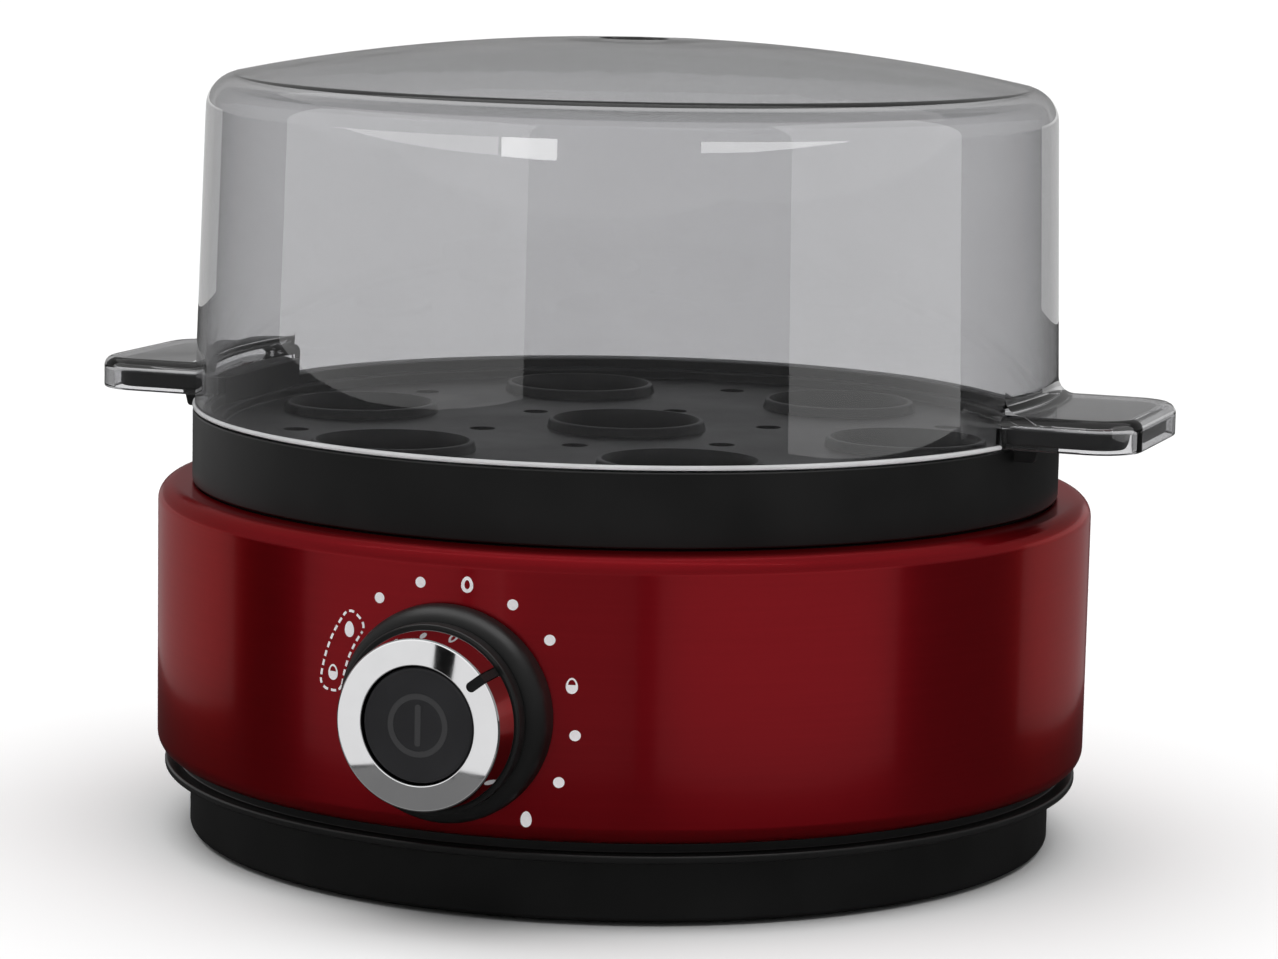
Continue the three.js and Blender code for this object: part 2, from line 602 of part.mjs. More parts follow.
/** Outline of the lid's dome from its shoulder to the dish, moved inwards by `inset`. */
function domeLine(inset, end) {
  const rise = LID_TOP - DOME_EDGE_Z;
  const radius = (DOME_EDGE ** 2 + rise ** 2) / (2 * rise);
  const centre = LID_TOP - radius;
  const start = THREE.MathUtils.radToDeg(Math.asin(DOME_EDGE / radius));
  const stop = THREE.MathUtils.radToDeg(Math.asin(end / radius));
  return round(0, centre, radius - inset, 90 - start, 90 - stop, 2);
}

function lidBody(inset, bottom) {
  const fillet = LID_FILLET - inset;
  const middle = LID_SHOULDER_RADIUS - LID_FILLET;
  return [
    [LID_FOOT_RADIUS - inset, bottom],
    ...round(middle, LID_SHOULDER_Z, fillet, 0, 76, 3),
    ...domeLine(inset, VENT_DISH + 1),
  ];
}

function lid() {
  const dishZ = LID_TOP - VENT_DEPTH;
  const outside = [...lidBody(0, LID_BOTTOM), [VENT_DISH, dishZ], [0, dishZ]];
  const underDish = [[VENT_DISH + 1, dishZ - LID_WALL], [0, dishZ - LID_WALL]];
  const insideTop = lidBody(LID_WALL, LID_BOTTOM).slice(0, -1);
  const inside = [...insideTop, ...underDish].toReversed();
  const wall = turned([...outside, ...inside]);
  const cavity = turned([[0, 60], [LID_FOOT_RADIUS - LID_WALL, 60], ...insideTop, ...underDish]);

  const inner = HANDLE_HALF - HANDLE_WALL;
  const ceiling = HANDLE_TOP - HANDLE_WALL;
  const outsideWall = solid(rod(LID_FOOT_RADIUS, 60, 95, ROUND));
  let body = solid(wall);
  for (const turn of [0, Math.PI]) {
    const outer = slab(70, HANDLE_REACH, -HANDLE_HALF, HANDLE_HALF, HANDLE_BOTTOM, HANDLE_TOP, HANDLE_CORNER);
    const hollow = slab(70, HANDLE_REACH - HANDLE_WALL, -inner, inner, HANDLE_BOTTOM - 2, ceiling,
      HANDLE_CORNER - HANDLE_WALL);
    const doorway = block(78, 90, -DOORWAY_HALF, DOORWAY_HALF, LID_BOTTOM - 1, ceiling);
    const pocket = solid(outer.rotateZ(turn)).subtract(solid(cavity));
    const pocketHollow = solid(hollow.rotateZ(turn)).subtract(outsideWall);
    body = body.add(pocket).subtract(pocketHollow).subtract(solid(doorway.rotateZ(turn)));
  }
  for (const [x, y] of around(3, 3.2, 90)) {
    body = body.subtract(solid(rod(1.1, 150, 160, 8).translate(x, y, 0)));
  }
  put('lid', 'clear', shell(body));
}

// ---------------------------------------------------------------- knob and button

const POINTER_TURN = -radians(POINTER_ANGLE);

function knob() {
  const face = KNOB_REACH;
  const rim = 0.5;
  const chrome = turned([
    [KNOB_BORE, face - 1.8], [KNOB_RADIUS - 0.6, face - 1.8], [KNOB_REAR_RADIUS - 1.3, KNOB_REAR],
    [KNOB_REAR_RADIUS, KNOB_REAR], [KNOB_RADIUS + 0.1, face - rim], [KNOB_RADIUS - rim, face],
    [KNOB_BORE + 0.2, face], [KNOB_BORE, face - 0.2],
  ], MEDIUM);
  const slot = block(-POINTER_WIDTH / 2 - 0.2, POINTER_WIDTH / 2 + 0.2, 12.1, 20, 99, 108);
  put('knob_ring', 'chrome', carve(chrome, { cut: [slot.rotateZ(POINTER_TURN)] }), dial);

  const carrierFront = face - 2.1;
  const collarRear = BEZEL_FRONT + 0.4;
  const groove = 11.9;
  const [grooveRear, grooveFront] = [84.7, 86.1];
  const sleeveRear = grooveRear - 1.1;
  const [shaftBore, shaft, shaftRear] = [6.2, 7.8, 77.5];
  const [well, wellFloor] = [11.3, 99.2];
  const body = turned([
    [shaftBore, shaftRear], [shaft, shaftRear], [shaft, sleeveRear], [SLEEVE_RADIUS, sleeveRear],
    [SLEEVE_RADIUS, grooveRear], [groove, grooveRear], [groove, grooveFront],
    [SLEEVE_RADIUS, grooveFront], [SLEEVE_RADIUS, collarRear], [COLLAR_RADIUS, collarRear],
    [COLLAR_RADIUS, KNOB_REAR - GAP], [14.9, KNOB_REAR - GAP], [14.6, carrierFront],
    [well, carrierFront], [well, wellFloor], [shaftBore, wellFloor],
  ], MEDIUM);
  put('knob_body', 'black', body, dial);
  const clipRing = ring(groove + 0.2, 15.4, grooveRear + 0.2, grooveFront - 0.2);
  put('retaining_ring', 'steel', clipRing, dial);

  const pointer = plate([
    [12.3, face - 1.9], [KNOB_RADIUS - 0.4, face - 1.9], [KNOB_REAR_RADIUS - 1.2, KNOB_REAR + 0.1],
    [KNOB_REAR_RADIUS, KNOB_REAR + 0.1], [KNOB_RADIUS, face - 0.1], [12.3, face - 0.1],
  ], -POINTER_WIDTH / 2, POINTER_WIDTH / 2);
  pointer.rotateX(Math.PI / 2).rotateZ(Math.PI / 2 + POINTER_TURN);
  put('knob_pointer', 'black', pointer, dial);
}

function button() {
  const cap = turned([
    [0, 103.9], [9.4, 103.9], [9.4, 101.2], [BUTTON_RADIUS, 101.2],
    [BUTTON_RADIUS, BUTTON_FRONT - 0.5], [BUTTON_RADIUS - 0.5, BUTTON_FRONT], [0, BUTTON_FRONT],
  ], MEDIUM);
  put('button_cap', 'button', cap, dial);

  const stem = 3.6;
  const guide = turned([
    [0, 80.9], [stem, 80.9], [stem, 96], [5.4, 96], [5.4, 97.2], [stem, 97.2],
    [stem, 101], [8.6, 101.8], [8.6, 103.6], [0, 103.6],
  ], SMALL);
  put('light_guide', 'clear', guide, dial);

  const turns = 4;
  const stepsPerTurn = 8;
  const [rear, front] = [88.8, 95.2];
  const route = [];
  for (let i = 0; i <= turns * stepsPerTurn; i += 1) {
    const share = i / (turns * stepsPerTurn);
    route.push([...polar(4.75, 360 * turns * share), rear + (front - rear) * share]);
  }
  put('button_spring', 'steel', tube(route, 0.38, turns * stepsPerTurn, 4), dial);
}

// ---------------------------------------------------------------- the cooker

housingShell();
innerFrame();
basePlate();
rubberFeet();
shellScrews();
cordReel();
cordInlet();
powerBoard();
controlBoard();
leads();
heatingBowl();
heater();
thermostat();
heatShield();
knobBezel();
eggTray();
lid();
knob();
button();

export default cooker;
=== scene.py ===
"""Looks of the egg cooker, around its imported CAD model.

Sizes are in millimetres until mesh code scales them by MM. Heights are above the foot ring's lower
edge, and radii are from the body's axis of revolution. The dial's own frame has X to the right, Y up
and Z outwards from the body's axis. The studio's sizes are in metres, and its angles in degrees.
"""
import json
import math

import bmesh
import bpy
from mathutils import Matrix, Vector


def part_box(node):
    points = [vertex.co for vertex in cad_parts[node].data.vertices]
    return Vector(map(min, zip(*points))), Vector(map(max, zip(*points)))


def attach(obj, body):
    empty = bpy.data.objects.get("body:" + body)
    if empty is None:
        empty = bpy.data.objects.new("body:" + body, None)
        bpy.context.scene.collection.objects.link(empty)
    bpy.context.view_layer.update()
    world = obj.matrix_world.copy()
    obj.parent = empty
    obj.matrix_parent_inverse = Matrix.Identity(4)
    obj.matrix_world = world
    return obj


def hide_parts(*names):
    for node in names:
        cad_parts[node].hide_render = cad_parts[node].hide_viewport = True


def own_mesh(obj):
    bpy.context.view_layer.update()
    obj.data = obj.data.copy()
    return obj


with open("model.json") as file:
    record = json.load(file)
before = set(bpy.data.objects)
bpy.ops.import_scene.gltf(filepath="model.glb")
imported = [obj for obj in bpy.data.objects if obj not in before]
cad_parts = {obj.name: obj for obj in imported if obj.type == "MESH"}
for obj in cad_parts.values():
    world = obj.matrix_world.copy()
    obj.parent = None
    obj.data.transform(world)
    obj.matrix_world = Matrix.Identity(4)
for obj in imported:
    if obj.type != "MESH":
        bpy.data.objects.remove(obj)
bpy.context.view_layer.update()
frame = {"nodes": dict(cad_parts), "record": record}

MM = 0.001

# ---------------------------------------------------------------- measures taken from the frame


def size_of(node):
    """Lowest and highest corner of a CAD node, in millimetres."""
    low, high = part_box(node)
    return low / MM, high / MM


shell_low, shell_high = size_of("housing_shell")
plate_low = size_of("base_plate")[0]
tray_low, tray_high = size_of("egg_tray")
lid_low, lid_high = size_of("lid")
knob_low, knob_high = size_of("knob_ring")

AXIS = (shell_low + shell_high) / 2
GROUND = plate_low.z
BODY = (shell_high.x - shell_low.x) / 2
UPRIGHT = Matrix.Translation(Vector((AXIS.x, AXIS.y, GROUND)))
KNOB_Z = (knob_low.z + knob_high.z) / 2 - GROUND
KNOB_FACE = AXIS.y - knob_low.y
DIAL = UPRIGHT @ Matrix.Translation(Vector((0, 0, KNOB_Z))) @ Matrix.Rotation(math.radians(90), 4, "X")

RING = 86.3                 # outer radius of the foot ring and of the tray's ring
SHELL_BOTTOM = shell_low.z - GROUND
SHELL_TOP = shell_high.z - GROUND
TRAY_BOTTOM = tray_low.z - GROUND
GRIP_TOP = tray_high.z - GROUND
GRIP_REACH = (tray_high.x - tray_low.x) / 2
GRIP_HALF = 18.4            # half the width of a tray grip
TRAY_TOP = 83.4             # top of the tray's ring
PLATE_TOP = 80.4            # face the eggs' collars stand on
SEAT = 14.0                 # radius of an egg's hole
SEAT_CIRCLE = 58.0          # radius of the circle of six seats
LID_BOTTOM = lid_low.z - GROUND
LID_REACH = (lid_high.x - lid_low.x) / 2
LID_TOP = 157.7
LID_WALL = 1.8
DIAL_HOLE = 18.8            # radius of the opening in the skin behind the bezel
SCREW_HOLE = 1.6
GLAND_HOLE = 5.2
GLAND_AT = (0, 60)
REEL_SCREWS_AT = ((-16, 0), (16, 0))
FINE = 240                  # steps round the big turned pieces
MIDDLE = 128                # steps round the dial and the reel
FEW = 48                    # steps round small turned pieces
SHARP = math.radians(35)    # edges steeper than this stay sharp

# ---------------------------------------------------------------- camera

LENS = 123.49
CAMERA_DISTANCE = 878.2
CAMERA_AZIMUTH = 19.82
CAMERA_ELEVATION = 8.25
CAMERA_ROLL = 1.18
CAMERA_TARGET = Vector((2.59, 0.93, 69.64))


def make_camera():
    """Camera at the viewing angle, aimed at a point near the body's axis."""
    azimuth, elevation = math.radians(CAMERA_AZIMUTH), math.radians(CAMERA_ELEVATION)
    back = Vector((math.sin(azimuth) * math.cos(elevation),
                   -math.cos(azimuth) * math.cos(elevation), math.sin(elevation)))
    right = Vector((math.cos(azimuth), math.sin(azimuth), 0))
    up = back.cross(right)
    turn = math.radians(CAMERA_ROLL)
    axis_x = right * math.cos(turn) + up * math.sin(turn)
    axis_y = up * math.cos(turn) - right * math.sin(turn)
    data = bpy.data.cameras.new("camera")
    data.lens = LENS
    camera = bpy.data.objects.new("camera", data)
    bpy.context.scene.collection.objects.link(camera)
    place = (UPRIGHT @ (CAMERA_TARGET + back * CAMERA_DISTANCE)) * MM
    turned_axes = Matrix((axis_x, axis_y, back)).transposed().to_4x4()
    camera.matrix_world = Matrix.Translation(place) @ turned_axes
    bpy.context.scene.camera = camera


make_camera()

# ---------------------------------------------------------------- materials


class Finish:
    """A principled material with helpers for its procedural detail."""

    def __init__(self, name, color, roughness, metallic=0.0, **sockets):
        self.material = bpy.data.materials.new(name)
        self.material.use_nodes = True
        self.tree = self.material.node_tree
        self.shader = self.tree.nodes["Principled BSDF"]
        self.set(self.shader, "Base Color", (*color, 1.0))
        self.set(self.shader, "Roughness", roughness)
        self.set(self.shader, "Metallic", metallic)
        for socket, value in sockets.items():
            self.set(self.shader, socket.replace("_", " "), value)

    @staticmethod
    def set(node, socket, value):
        node.inputs[socket].default_value = value

    def node(self, kind, **sockets):
        made = self.tree.nodes.new(kind)
        for socket, value in sockets.items():
            self.set(made, socket.replace("_", " "), value)
        return made

    def link(self, start, end):
        self.tree.links.new(start, end)

    def place(self, scale=(1, 1, 1)):
        """Object coordinates in metres, moved to the body's axis and scaled."""
        source = self.node("ShaderNodeTexCoord")
        mapping = self.node("ShaderNodeMapping", Scale=scale)
        shift = Vector((AXIS.x, AXIS.y, 0)) * -MM
        mapping.inputs["Location"].default_value = [a * b for a, b in zip(shift, scale)]
        self.link(source.outputs["Object"], mapping.inputs["Vector"])
        return mapping.outputs["Vector"]

    def radius(self, scale):
        """Distance from the body's axis, as a vector along X, for turning marks."""
        flat = self.place((1, 1, 0))
        length = self.node("ShaderNodeVectorMath")
        length.operation = "LENGTH"
        self.link(flat, length.inputs[0])
        scaled = self.node("ShaderNodeMath")
        scaled.operation = "MULTIPLY"
        scaled.inputs[1].default_value = scale
        self.link(length.outputs["Value"], scaled.inputs[0])
        joined = self.node("ShaderNodeCombineXYZ")
        self.link(scaled.outputs[0], joined.inputs["X"])
        return joined.outputs[0]

    def noise(self, vector, scale=1.0, detail=2.0, roughness=0.5):
        made = self.node("ShaderNodeTexNoise", Scale=scale, Detail=detail, Roughness=roughness)
        self.link(vector, made.inputs["Vector"])
        return made.outputs["Fac"]

    def spread(self, factor, low, high):
        """Maps a noise to the range low..high."""
        made = self.node("ShaderNodeMapRange")
        for socket, value in (("From Min", 0.3), ("From Max", 0.7), ("To Min", low), ("To Max", high)):
            made.inputs[socket].default_value = value
        self.link(factor, made.inputs["Value"])
        return made.outputs["Result"]

    def colors(self, factor, first, second):
        """Base colour between two colours."""
        made = self.node("ShaderNodeMix")
        made.data_type = "RGBA"
        made.inputs[6].default_value = (*first, 1.0)
        made.inputs[7].default_value = (*second, 1.0)
        self.link(factor, made.inputs["Factor"])
        self.link(made.outputs[2], self.shader.inputs["Base Color"])

    def rough(self, factor, low, high):
        self.link(self.spread(factor, low, high), self.shader.inputs["Roughness"])

    def bump(self, height, strength, distance):
        made = self.node("ShaderNodeBump", Strength=strength, Distance=distance)
        self.link(height, made.inputs["Height"])
        self.link(made.outputs["Normal"], self.shader.inputs["Normal"])


def red_lacquer():
    """Metallic lacquer over horizontally brushed sheet."""
    f = Finish("red_lacquer", (0.34, 0.006, 0.012), 0.28, 0.88, Coat_Weight=0.30, Coat_Roughness=0.12,
               Specular_Tint=(0.75, 0.25, 0.26, 1.0))
    brushed = f.noise(f.place((28, 28, 1500)), detail=2.0)
    flake = f.noise(f.place((1, 1, 1)), scale=900, detail=1.0)
    f.colors(f.spread(brushed, 0, 1), (0.332, 0.0056, 0.0115), (0.350, 0.0064, 0.0125))
    f.rough(flake, 0.275, 0.285)
    return f.material


def satin_black(name="satin_black", color=(0.009, 0.009, 0.009), roughness=0.38):
    """Moulded plastic with a fine spark-eroded grain."""
    f = Finish(name, color, roughness, Specular_IOR_Level=0.42)
    grain = f.noise(f.place(), scale=3800, detail=2.0)
    cloud = f.noise(f.place(), scale=55, detail=3.0)
    f.colors(f.spread(cloud, 0, 1), [0.85 * c for c in color], [1.2 * c for c in color])
    f.rough(cloud, roughness - 0.04, roughness + 0.05)
    f.bump(grain, 0.10, 0.00002)
    return f.material


def chrome():
    """Bright plating with faint smears."""
    f = Finish("chrome", (0.86, 0.86, 0.87), 0.05, 1.0)
    smear = f.noise(f.place(), scale=160, detail=4.0)
    f.colors(f.spread(smear, 0, 1), (0.84, 0.84, 0.85), (0.88, 0.88, 0.89))
    f.rough(smear, 0.03, 0.06)
    return f.material


def clear_plastic():
    """Clear moulding with a light smoke tint and the slight waviness of a moulded wall."""
    f = Finish("clear_plastic", (0.63, 0.63, 0.64), 0.0, Transmission_Weight=1.0, IOR=1.5)
    wave = f.noise(f.place((1, 1, 0.5)), scale=22, detail=2.0)
    f.colors(f.spread(wave, 0, 1), (0.62, 0.62, 0.63), (0.64, 0.64, 0.65))
    f.rough(wave, 0.0, 0.012)
    f.bump(wave, 0.12, 0.0004)
    return f.material


def painted_rim_highlight():
    """Pale, mostly opaque rim of the clear moulding: a painted highlight in place of the light gathering
    in its edge.
    """
    f = Finish("painted_rim_highlight", (0.86, 0.86, 0.87), 0.18, Transmission_Weight=0.25, IOR=1.5)
    highlight_streak = f.noise(f.place((1, 1, 4)), scale=90, detail=3.0)
    f.colors(f.spread(highlight_streak, 0, 1), (0.78, 0.78, 0.79), (0.90, 0.90, 0.91))
    f.rough(highlight_streak, 0.14, 0.24)
    return f.material


def printed(name, color, roughness):
    """Screen-printed ink with a slight mottle."""
    f = Finish(name, color, roughness)
    mottle = f.noise(f.place(), scale=2500, detail=2.0)
    f.colors(f.spread(mottle, 0, 1), [0.94 * c for c in color], color)
    f.bump(mottle, 0.1, 0.00001)
    return f.material


def soft_rubber(name, color, roughness):
    """Dull elastic material with a speckled skin."""
    f = Finish(name, color, roughness, Specular_IOR_Level=0.3)
    speck = f.noise(f.place(), scale=900, detail=5.0)
    f.colors(f.spread(speck, 0, 1), [0.8 * c for c in color], [1.2 * c for c in color])
    f.rough(speck, roughness - 0.05, roughness + 0.08)
    f.bump(speck, 0.3, 0.00005)
    return f.material


def turned_steel():
    """Stainless steel with concentric turning marks."""
    f = Finish("turned_steel", (0.60, 0.59, 0.57), 0.28, 1.0)
    rings = f.noise(f.radius(2600), detail=3.0)
    stain = f.noise(f.place(), scale=40, detail=4.0)
    f.colors(f.spread(stain, 0, 1), (0.54, 0.53, 0.50), (0.64, 0.63, 0.62))
    f.rough(rings, 0.20, 0.36)
    f.bump(rings, 0.2, 0.00002)
    return f.material


def plain_metal(name, color, roughness):
    """Rolled or plated metal with a fine uneven surface."""
    f = Finish(name, color, roughness, 1.0)
    grain = f.noise(f.place((1, 6, 1)), scale=700, detail=4.0)
    f.colors(f.spread(grain, 0, 1), [0.9 * c for c in color], [min(1.0, 1.08 * c) for c in color])
    f.rough(grain, roughness - 0.08, roughness + 0.08)
    f.bump(grain, 0.15, 0.00003)
    return f.material


def moulded(name, color, roughness):
    """Plain technical plastic."""
    f = Finish(name, color, roughness)
    cloud = f.noise(f.place(), scale=400, detail=3.0)
    f.colors(f.spread(cloud, 0, 1), [0.88 * c for c in color], [1.1 * c for c in color])
    f.rough(cloud, roughness - 0.05, roughness + 0.05)
    f.bump(cloud, 0.1, 0.00004)
    return f.material


SLOT_FINISH = {
    "red_lacquer": red_lacquer(),
    "black_plastic": satin_black(),
    "clear_plastic": clear_plastic(),
    "chrome": chrome(),
    "button_plastic": satin_black("button_plastic", (0.022, 0.022, 0.024), 0.34),
    "bowl_steel": turned_steel(),
    "silicone": soft_rubber("silicone", (0.20, 0.21, 0.22), 0.6),
    "aluminium": plain_metal("aluminium", (0.70, 0.70, 0.71), 0.38),
    "steel": plain_metal("steel", (0.55, 0.55, 0.56), 0.30),
    "component": moulded("component", (0.04, 0.042, 0.05), 0.5),
    "nylon": moulded("nylon", (0.66, 0.63, 0.56), 0.5),
    "board": moulded("board", (0.02, 0.14, 0.05), 0.35),
    "rubber": soft_rubber("rubber", (0.016, 0.016, 0.016), 0.7),
    "wire": soft_rubber("wire", (0.62, 0.58, 0.50), 0.5),
}
# painted highlight: the lid's rim gets a pale, mostly opaque finish instead of clear plastic
RIM_PAINTED_HIGHLIGHT = painted_rim_highlight()
WHITE_INK = printed("white_ink", (0.93, 0.90, 0.92), 0.45)
SYMBOL_GREY = printed("symbol_grey", (0.050, 0.050, 0.052), 0.3)

slot_of_node = {row["node"]: row["material_slot"] for row in frame["record"]["subparts"]}
for node_name, node_object in frame["nodes"].items():
    for material_slot in node_object.material_slots:
        material_slot.material = SLOT_FINISH[slot_of_node[node_name]]

# ---------------------------------------------------------------- outlines


def arc(x, y, radius, start, stop, steps):
    """Points on an arc, angles in degrees."""
    angles = [math.radians(start + (stop - start) * i / steps) for i in range(steps + 1)]
    return [(x + radius * math.cos(a), y + radius * math.sin(a)) for a in angles]


def rounded(corners, steps=5):
    """Closed outline from (x, y) or (x, y, fillet) corners, each fillet an arc."""
    points = []
    for i, corner in enumerate(corners):
        here = Vector(corner[:2])
        if len(corner) == 2 or corner[2] == 0:
            points.append(tuple(here))
            continue
        to_last = (Vector(corners[i - 1][:2]) - here).normalized()
        to_next = (Vector(corners[(i + 1) % len(corners)][:2]) - here).normalized()
        half = to_last.angle(to_next) / 2
        centre = here + (to_last + to_next).normalized() * corner[2] / math.sin(half)
        first = here + to_last * corner[2] / math.tan(half) - centre
        last = here + to_next * corner[2] / math.tan(half) - centre
        sweep = first.angle_signed(last)
        for step in range(steps + 1):
            turn = Matrix.Rotation(-sweep * step / steps, 2)
            points.append(tuple(centre + turn @ first))
    return points


def around(count, radius, first=0.0):
    """Points spread evenly round a circle, from an angle in degrees."""
    angles = [math.radians(first + 360 * i / count) for i in range(count)]
    return [(radius * math.cos(a), radius * math.sin(a)) for a in angles]


def egg_outline(height, width, steps=24):
    """Egg shape standing on its blunt end, drawn in the dial's plane."""
    tall, wide = height / 2, width / 2
    points = []
    for i in range(steps):
        t = 2 * math.pi * i / steps
        taper = 1 - 0.12 * math.sin(t)
        points.append((wide * taper * math.cos(t), tall * math.sin(t)))
    return points


def box_outline(x0, x1, y0, y1, corner, steps=8):
    """Rectangle with rounded corners."""
    return [*arc(x1 - corner, y0 + corner, corner, -90, 0, steps),
            *arc(x1 - corner, y1 - corner, corner, 0, 90, steps),
            *arc(x0 + corner, y1 - corner, corner, 90, 180, steps),
            *arc(x0 + corner, y0 + corner, corner, 180, 270, steps)]


# ---------------------------------------------------------------- mesh code


def new_object(name, points, faces, place=UPRIGHT):
    """Mesh object from points in millimetres in the given frame."""
    mesh = bpy.data.meshes.new(name)
    mesh.from_pydata([(place @ Vector(p)) * MM for p in points], [], faces)
    mesh.validate()
    face_outwards(mesh)
    made = bpy.data.objects.new(name, mesh)
    bpy.context.scene.collection.objects.link(made)
    return made


def smooth(mesh):
    """Shades a mesh smooth between its sharp edges."""
    mesh.shade_smooth()
    mesh.set_sharp_from_angle(angle=SHARP)


def face_outwards(mesh):
    """Turns every face outwards and shades the mesh."""
    turned_out = bmesh.new()
    turned_out.from_mesh(mesh)
    bmesh.ops.recalc_face_normals(turned_out, faces=turned_out.faces)
    turned_out.to_mesh(mesh)
    turned_out.free()
    smooth(mesh)


def turned(name, profile, steps=FINE, place=UPRIGHT):
    """Solid of revolution about the frame's Z. Profile is [(radius, height)], closed on itself."""
    points, rings = [], []
    for radius, height in profile:
        if radius < 1e-6:
            rings.append([len(points)] * steps)
            points.append((0, 0, height))
            continue
        rings.append(list(range(len(points), len(points) + steps)))
        for i in range(steps):
            angle = 2 * math.pi * i / steps
            points.append((radius * math.cos(angle), radius * math.sin(angle), height))
    faces = []
    on_axis = profile[0][0] < 1e-6 and profile[-1][0] < 1e-6
    pairs = list(zip(rings, rings[1:])) if on_axis else list(zip(rings, rings[1:] + rings[:1]))
    for low, high in pairs:
        for i in range(steps):
            j = (i + 1) % steps
            corners = dict.fromkeys((low[i], low[j], high[j], high[i]))
            if len(corners) > 2:
                faces.append(tuple(corners))
    return new_object(name, points, faces, place)


def lofted(name, layers, place=UPRIGHT):
    """Closed body through layers of the same number of points, capped at both ends."""
    count = len(layers[0])
    points = [p for layer in layers for p in layer]
    faces = [tuple(reversed(range(count)))]
    for level in range(len(layers) - 1):
        start = level * count
        for i in range(count):
            j = (i + 1) % count
            faces.append((start + i, start + j, start + count + j, start + count + i))
    faces.append(tuple(range(len(points) - count, len(points))))
    return new_object(name, points, faces, place)


def soft_box(name, x, y, z, corner, top=0.0, bottom=0.0, place=UPRIGHT, steps=5):
    """Rounded box between the (low, high) limits, its top and bottom edges rounded over."""
    levels = []
    for i in range(steps + 1 if bottom else 1):
        turn = math.pi / 2 * i / steps if bottom else math.pi / 2
        levels.append((bottom * (1 - math.sin(turn)), z[0] + bottom * (1 - math.cos(turn))))
    for i in range(steps + 1 if top else 1):
        turn = math.pi / 2 * i / steps if top else 0
        levels.append((top * (1 - math.cos(turn)), z[1] - top * (1 - math.sin(turn))))
    layers = []
    for inset, height in levels:
        outline = box_outline(x[0] + inset, x[1] - inset, y[0] + inset, y[1] - inset, corner - inset)
        layers.append([(px, py, height) for px, py in outline])
    return lofted(name, layers, place)


def prism(name, outline, z0, z1, place=UPRIGHT):
    """Outline drawn straight up from z0 to z1."""
    return lofted(name, [[(x, y, z) for x, y in outline] for z in (z0, z1)], place)


def rod(name, radius, z0, z1, at=(0, 0), steps=FEW, place=UPRIGHT):
    """Round rod from z0 to z1, standing at a point."""
    shifted = place @ Matrix.Translation(Vector((*at, 0)))
    return turned(name, [(0, z0), (radius, z0), (radius, z1), (0, z1)], steps, shifted)


def merged(name, objects):
    """One object from several that stand apart."""
    joined = bmesh.new()
    for item in objects:
        joined.from_mesh(item.data)
        bpy.data.objects.remove(item)
    mesh = bpy.data.meshes.new(name)
    joined.to_mesh(mesh)
    joined.free()
    made = bpy.data.objects.new(name, mesh)
    bpy.context.scene.collection.objects.link(made)
    return made


def combine(base, others, operation):
    """Boolean of base with the others taken together, applied to base's mesh."""
    tool = merged("tool", others) if len(others) > 1 else others[0]
    modifier = base.modifiers.new("cut", "BOOLEAN")
    modifier.operation = operation
    modifier.solver = "EXACT"
    modifier.object = tool
    graph = bpy.context.evaluated_depsgraph_get()
    result = bpy.data.meshes.new_from_object(base.evaluated_get(graph))
    base.modifiers.clear()
    base.data = result
    bpy.data.objects.remove(tool)
    cleanup = bmesh.new()
    cleanup.from_mesh(result)
    bmesh.ops.remove_doubles(cleanup, verts=cleanup.verts, dist=1e-6)
    bmesh.ops.dissolve_degenerate(cleanup, edges=cleanup.edges, dist=1e-6)
    cleanup.to_mesh(result)
    cleanup.free()
    smooth(result)
    return base


def dress(made, body, slot, *nodes, material=None):
    """Gives a piece its finish, its body and the CAD nodes it stands for."""
    made.data.materials.clear()
    made.data.materials.append(material or SLOT_FINISH[slot])
    flats = made.modifiers.new("flats", "WEIGHTED_NORMAL")
    flats.keep_sharp = True
    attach(made, body)
    if nodes:
        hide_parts(*nodes)
    return made


def turned_about(angle):
    """Frame of the body turned about its axis, in degrees."""
    return UPRIGHT @ Matrix.Rotation(math.radians(angle), 4, "Z")


def standing_at(at):
    """Frame of the body moved to a point of the floor."""
    return UPRIGHT @ Matrix.Translation(Vector((*at, 0)))


# ---------------------------------------------------------------- housing and floor

FEET_AT = around(4, 72, 45)
SHELL_SCREWS_AT = around(3, 80, 90)


def housing():
    """Red skin: a straight wall, rounded over at its shoulder and rolled in at its hem."""
    hem, shoulder, wall, mouth = 3.4, 3.6, 1.0, 85.7
    foot, top = BODY - 0.1 - hem, BODY - shoulder
    profile = [
        *arc(foot, SHELL_BOTTOM + hem, hem, -90, 0, 8),
        *arc(top, SHELL_TOP - shoulder, shoulder, 0, 90, 12),
        *arc(mouth + 0.4, SHELL_TOP - 0.4, 0.4, 90, 180, 3), (mouth, SHELL_TOP - wall),
        *arc(top, SHELL_TOP - shoulder, shoulder - wall, 90, 0, 6),
        *arc(foot, SHELL_BOTTOM + hem, hem - wall, 0, -90, 4),
    ]
    made = turned("housing_skin", profile)
    hole = rod("hole", DIAL_HOLE, 60, 110, place=DIAL, steps=96)
    return dress(combine(made, [hole], "DIFFERENCE"), "base", "red_lacquer", "housing_shell")


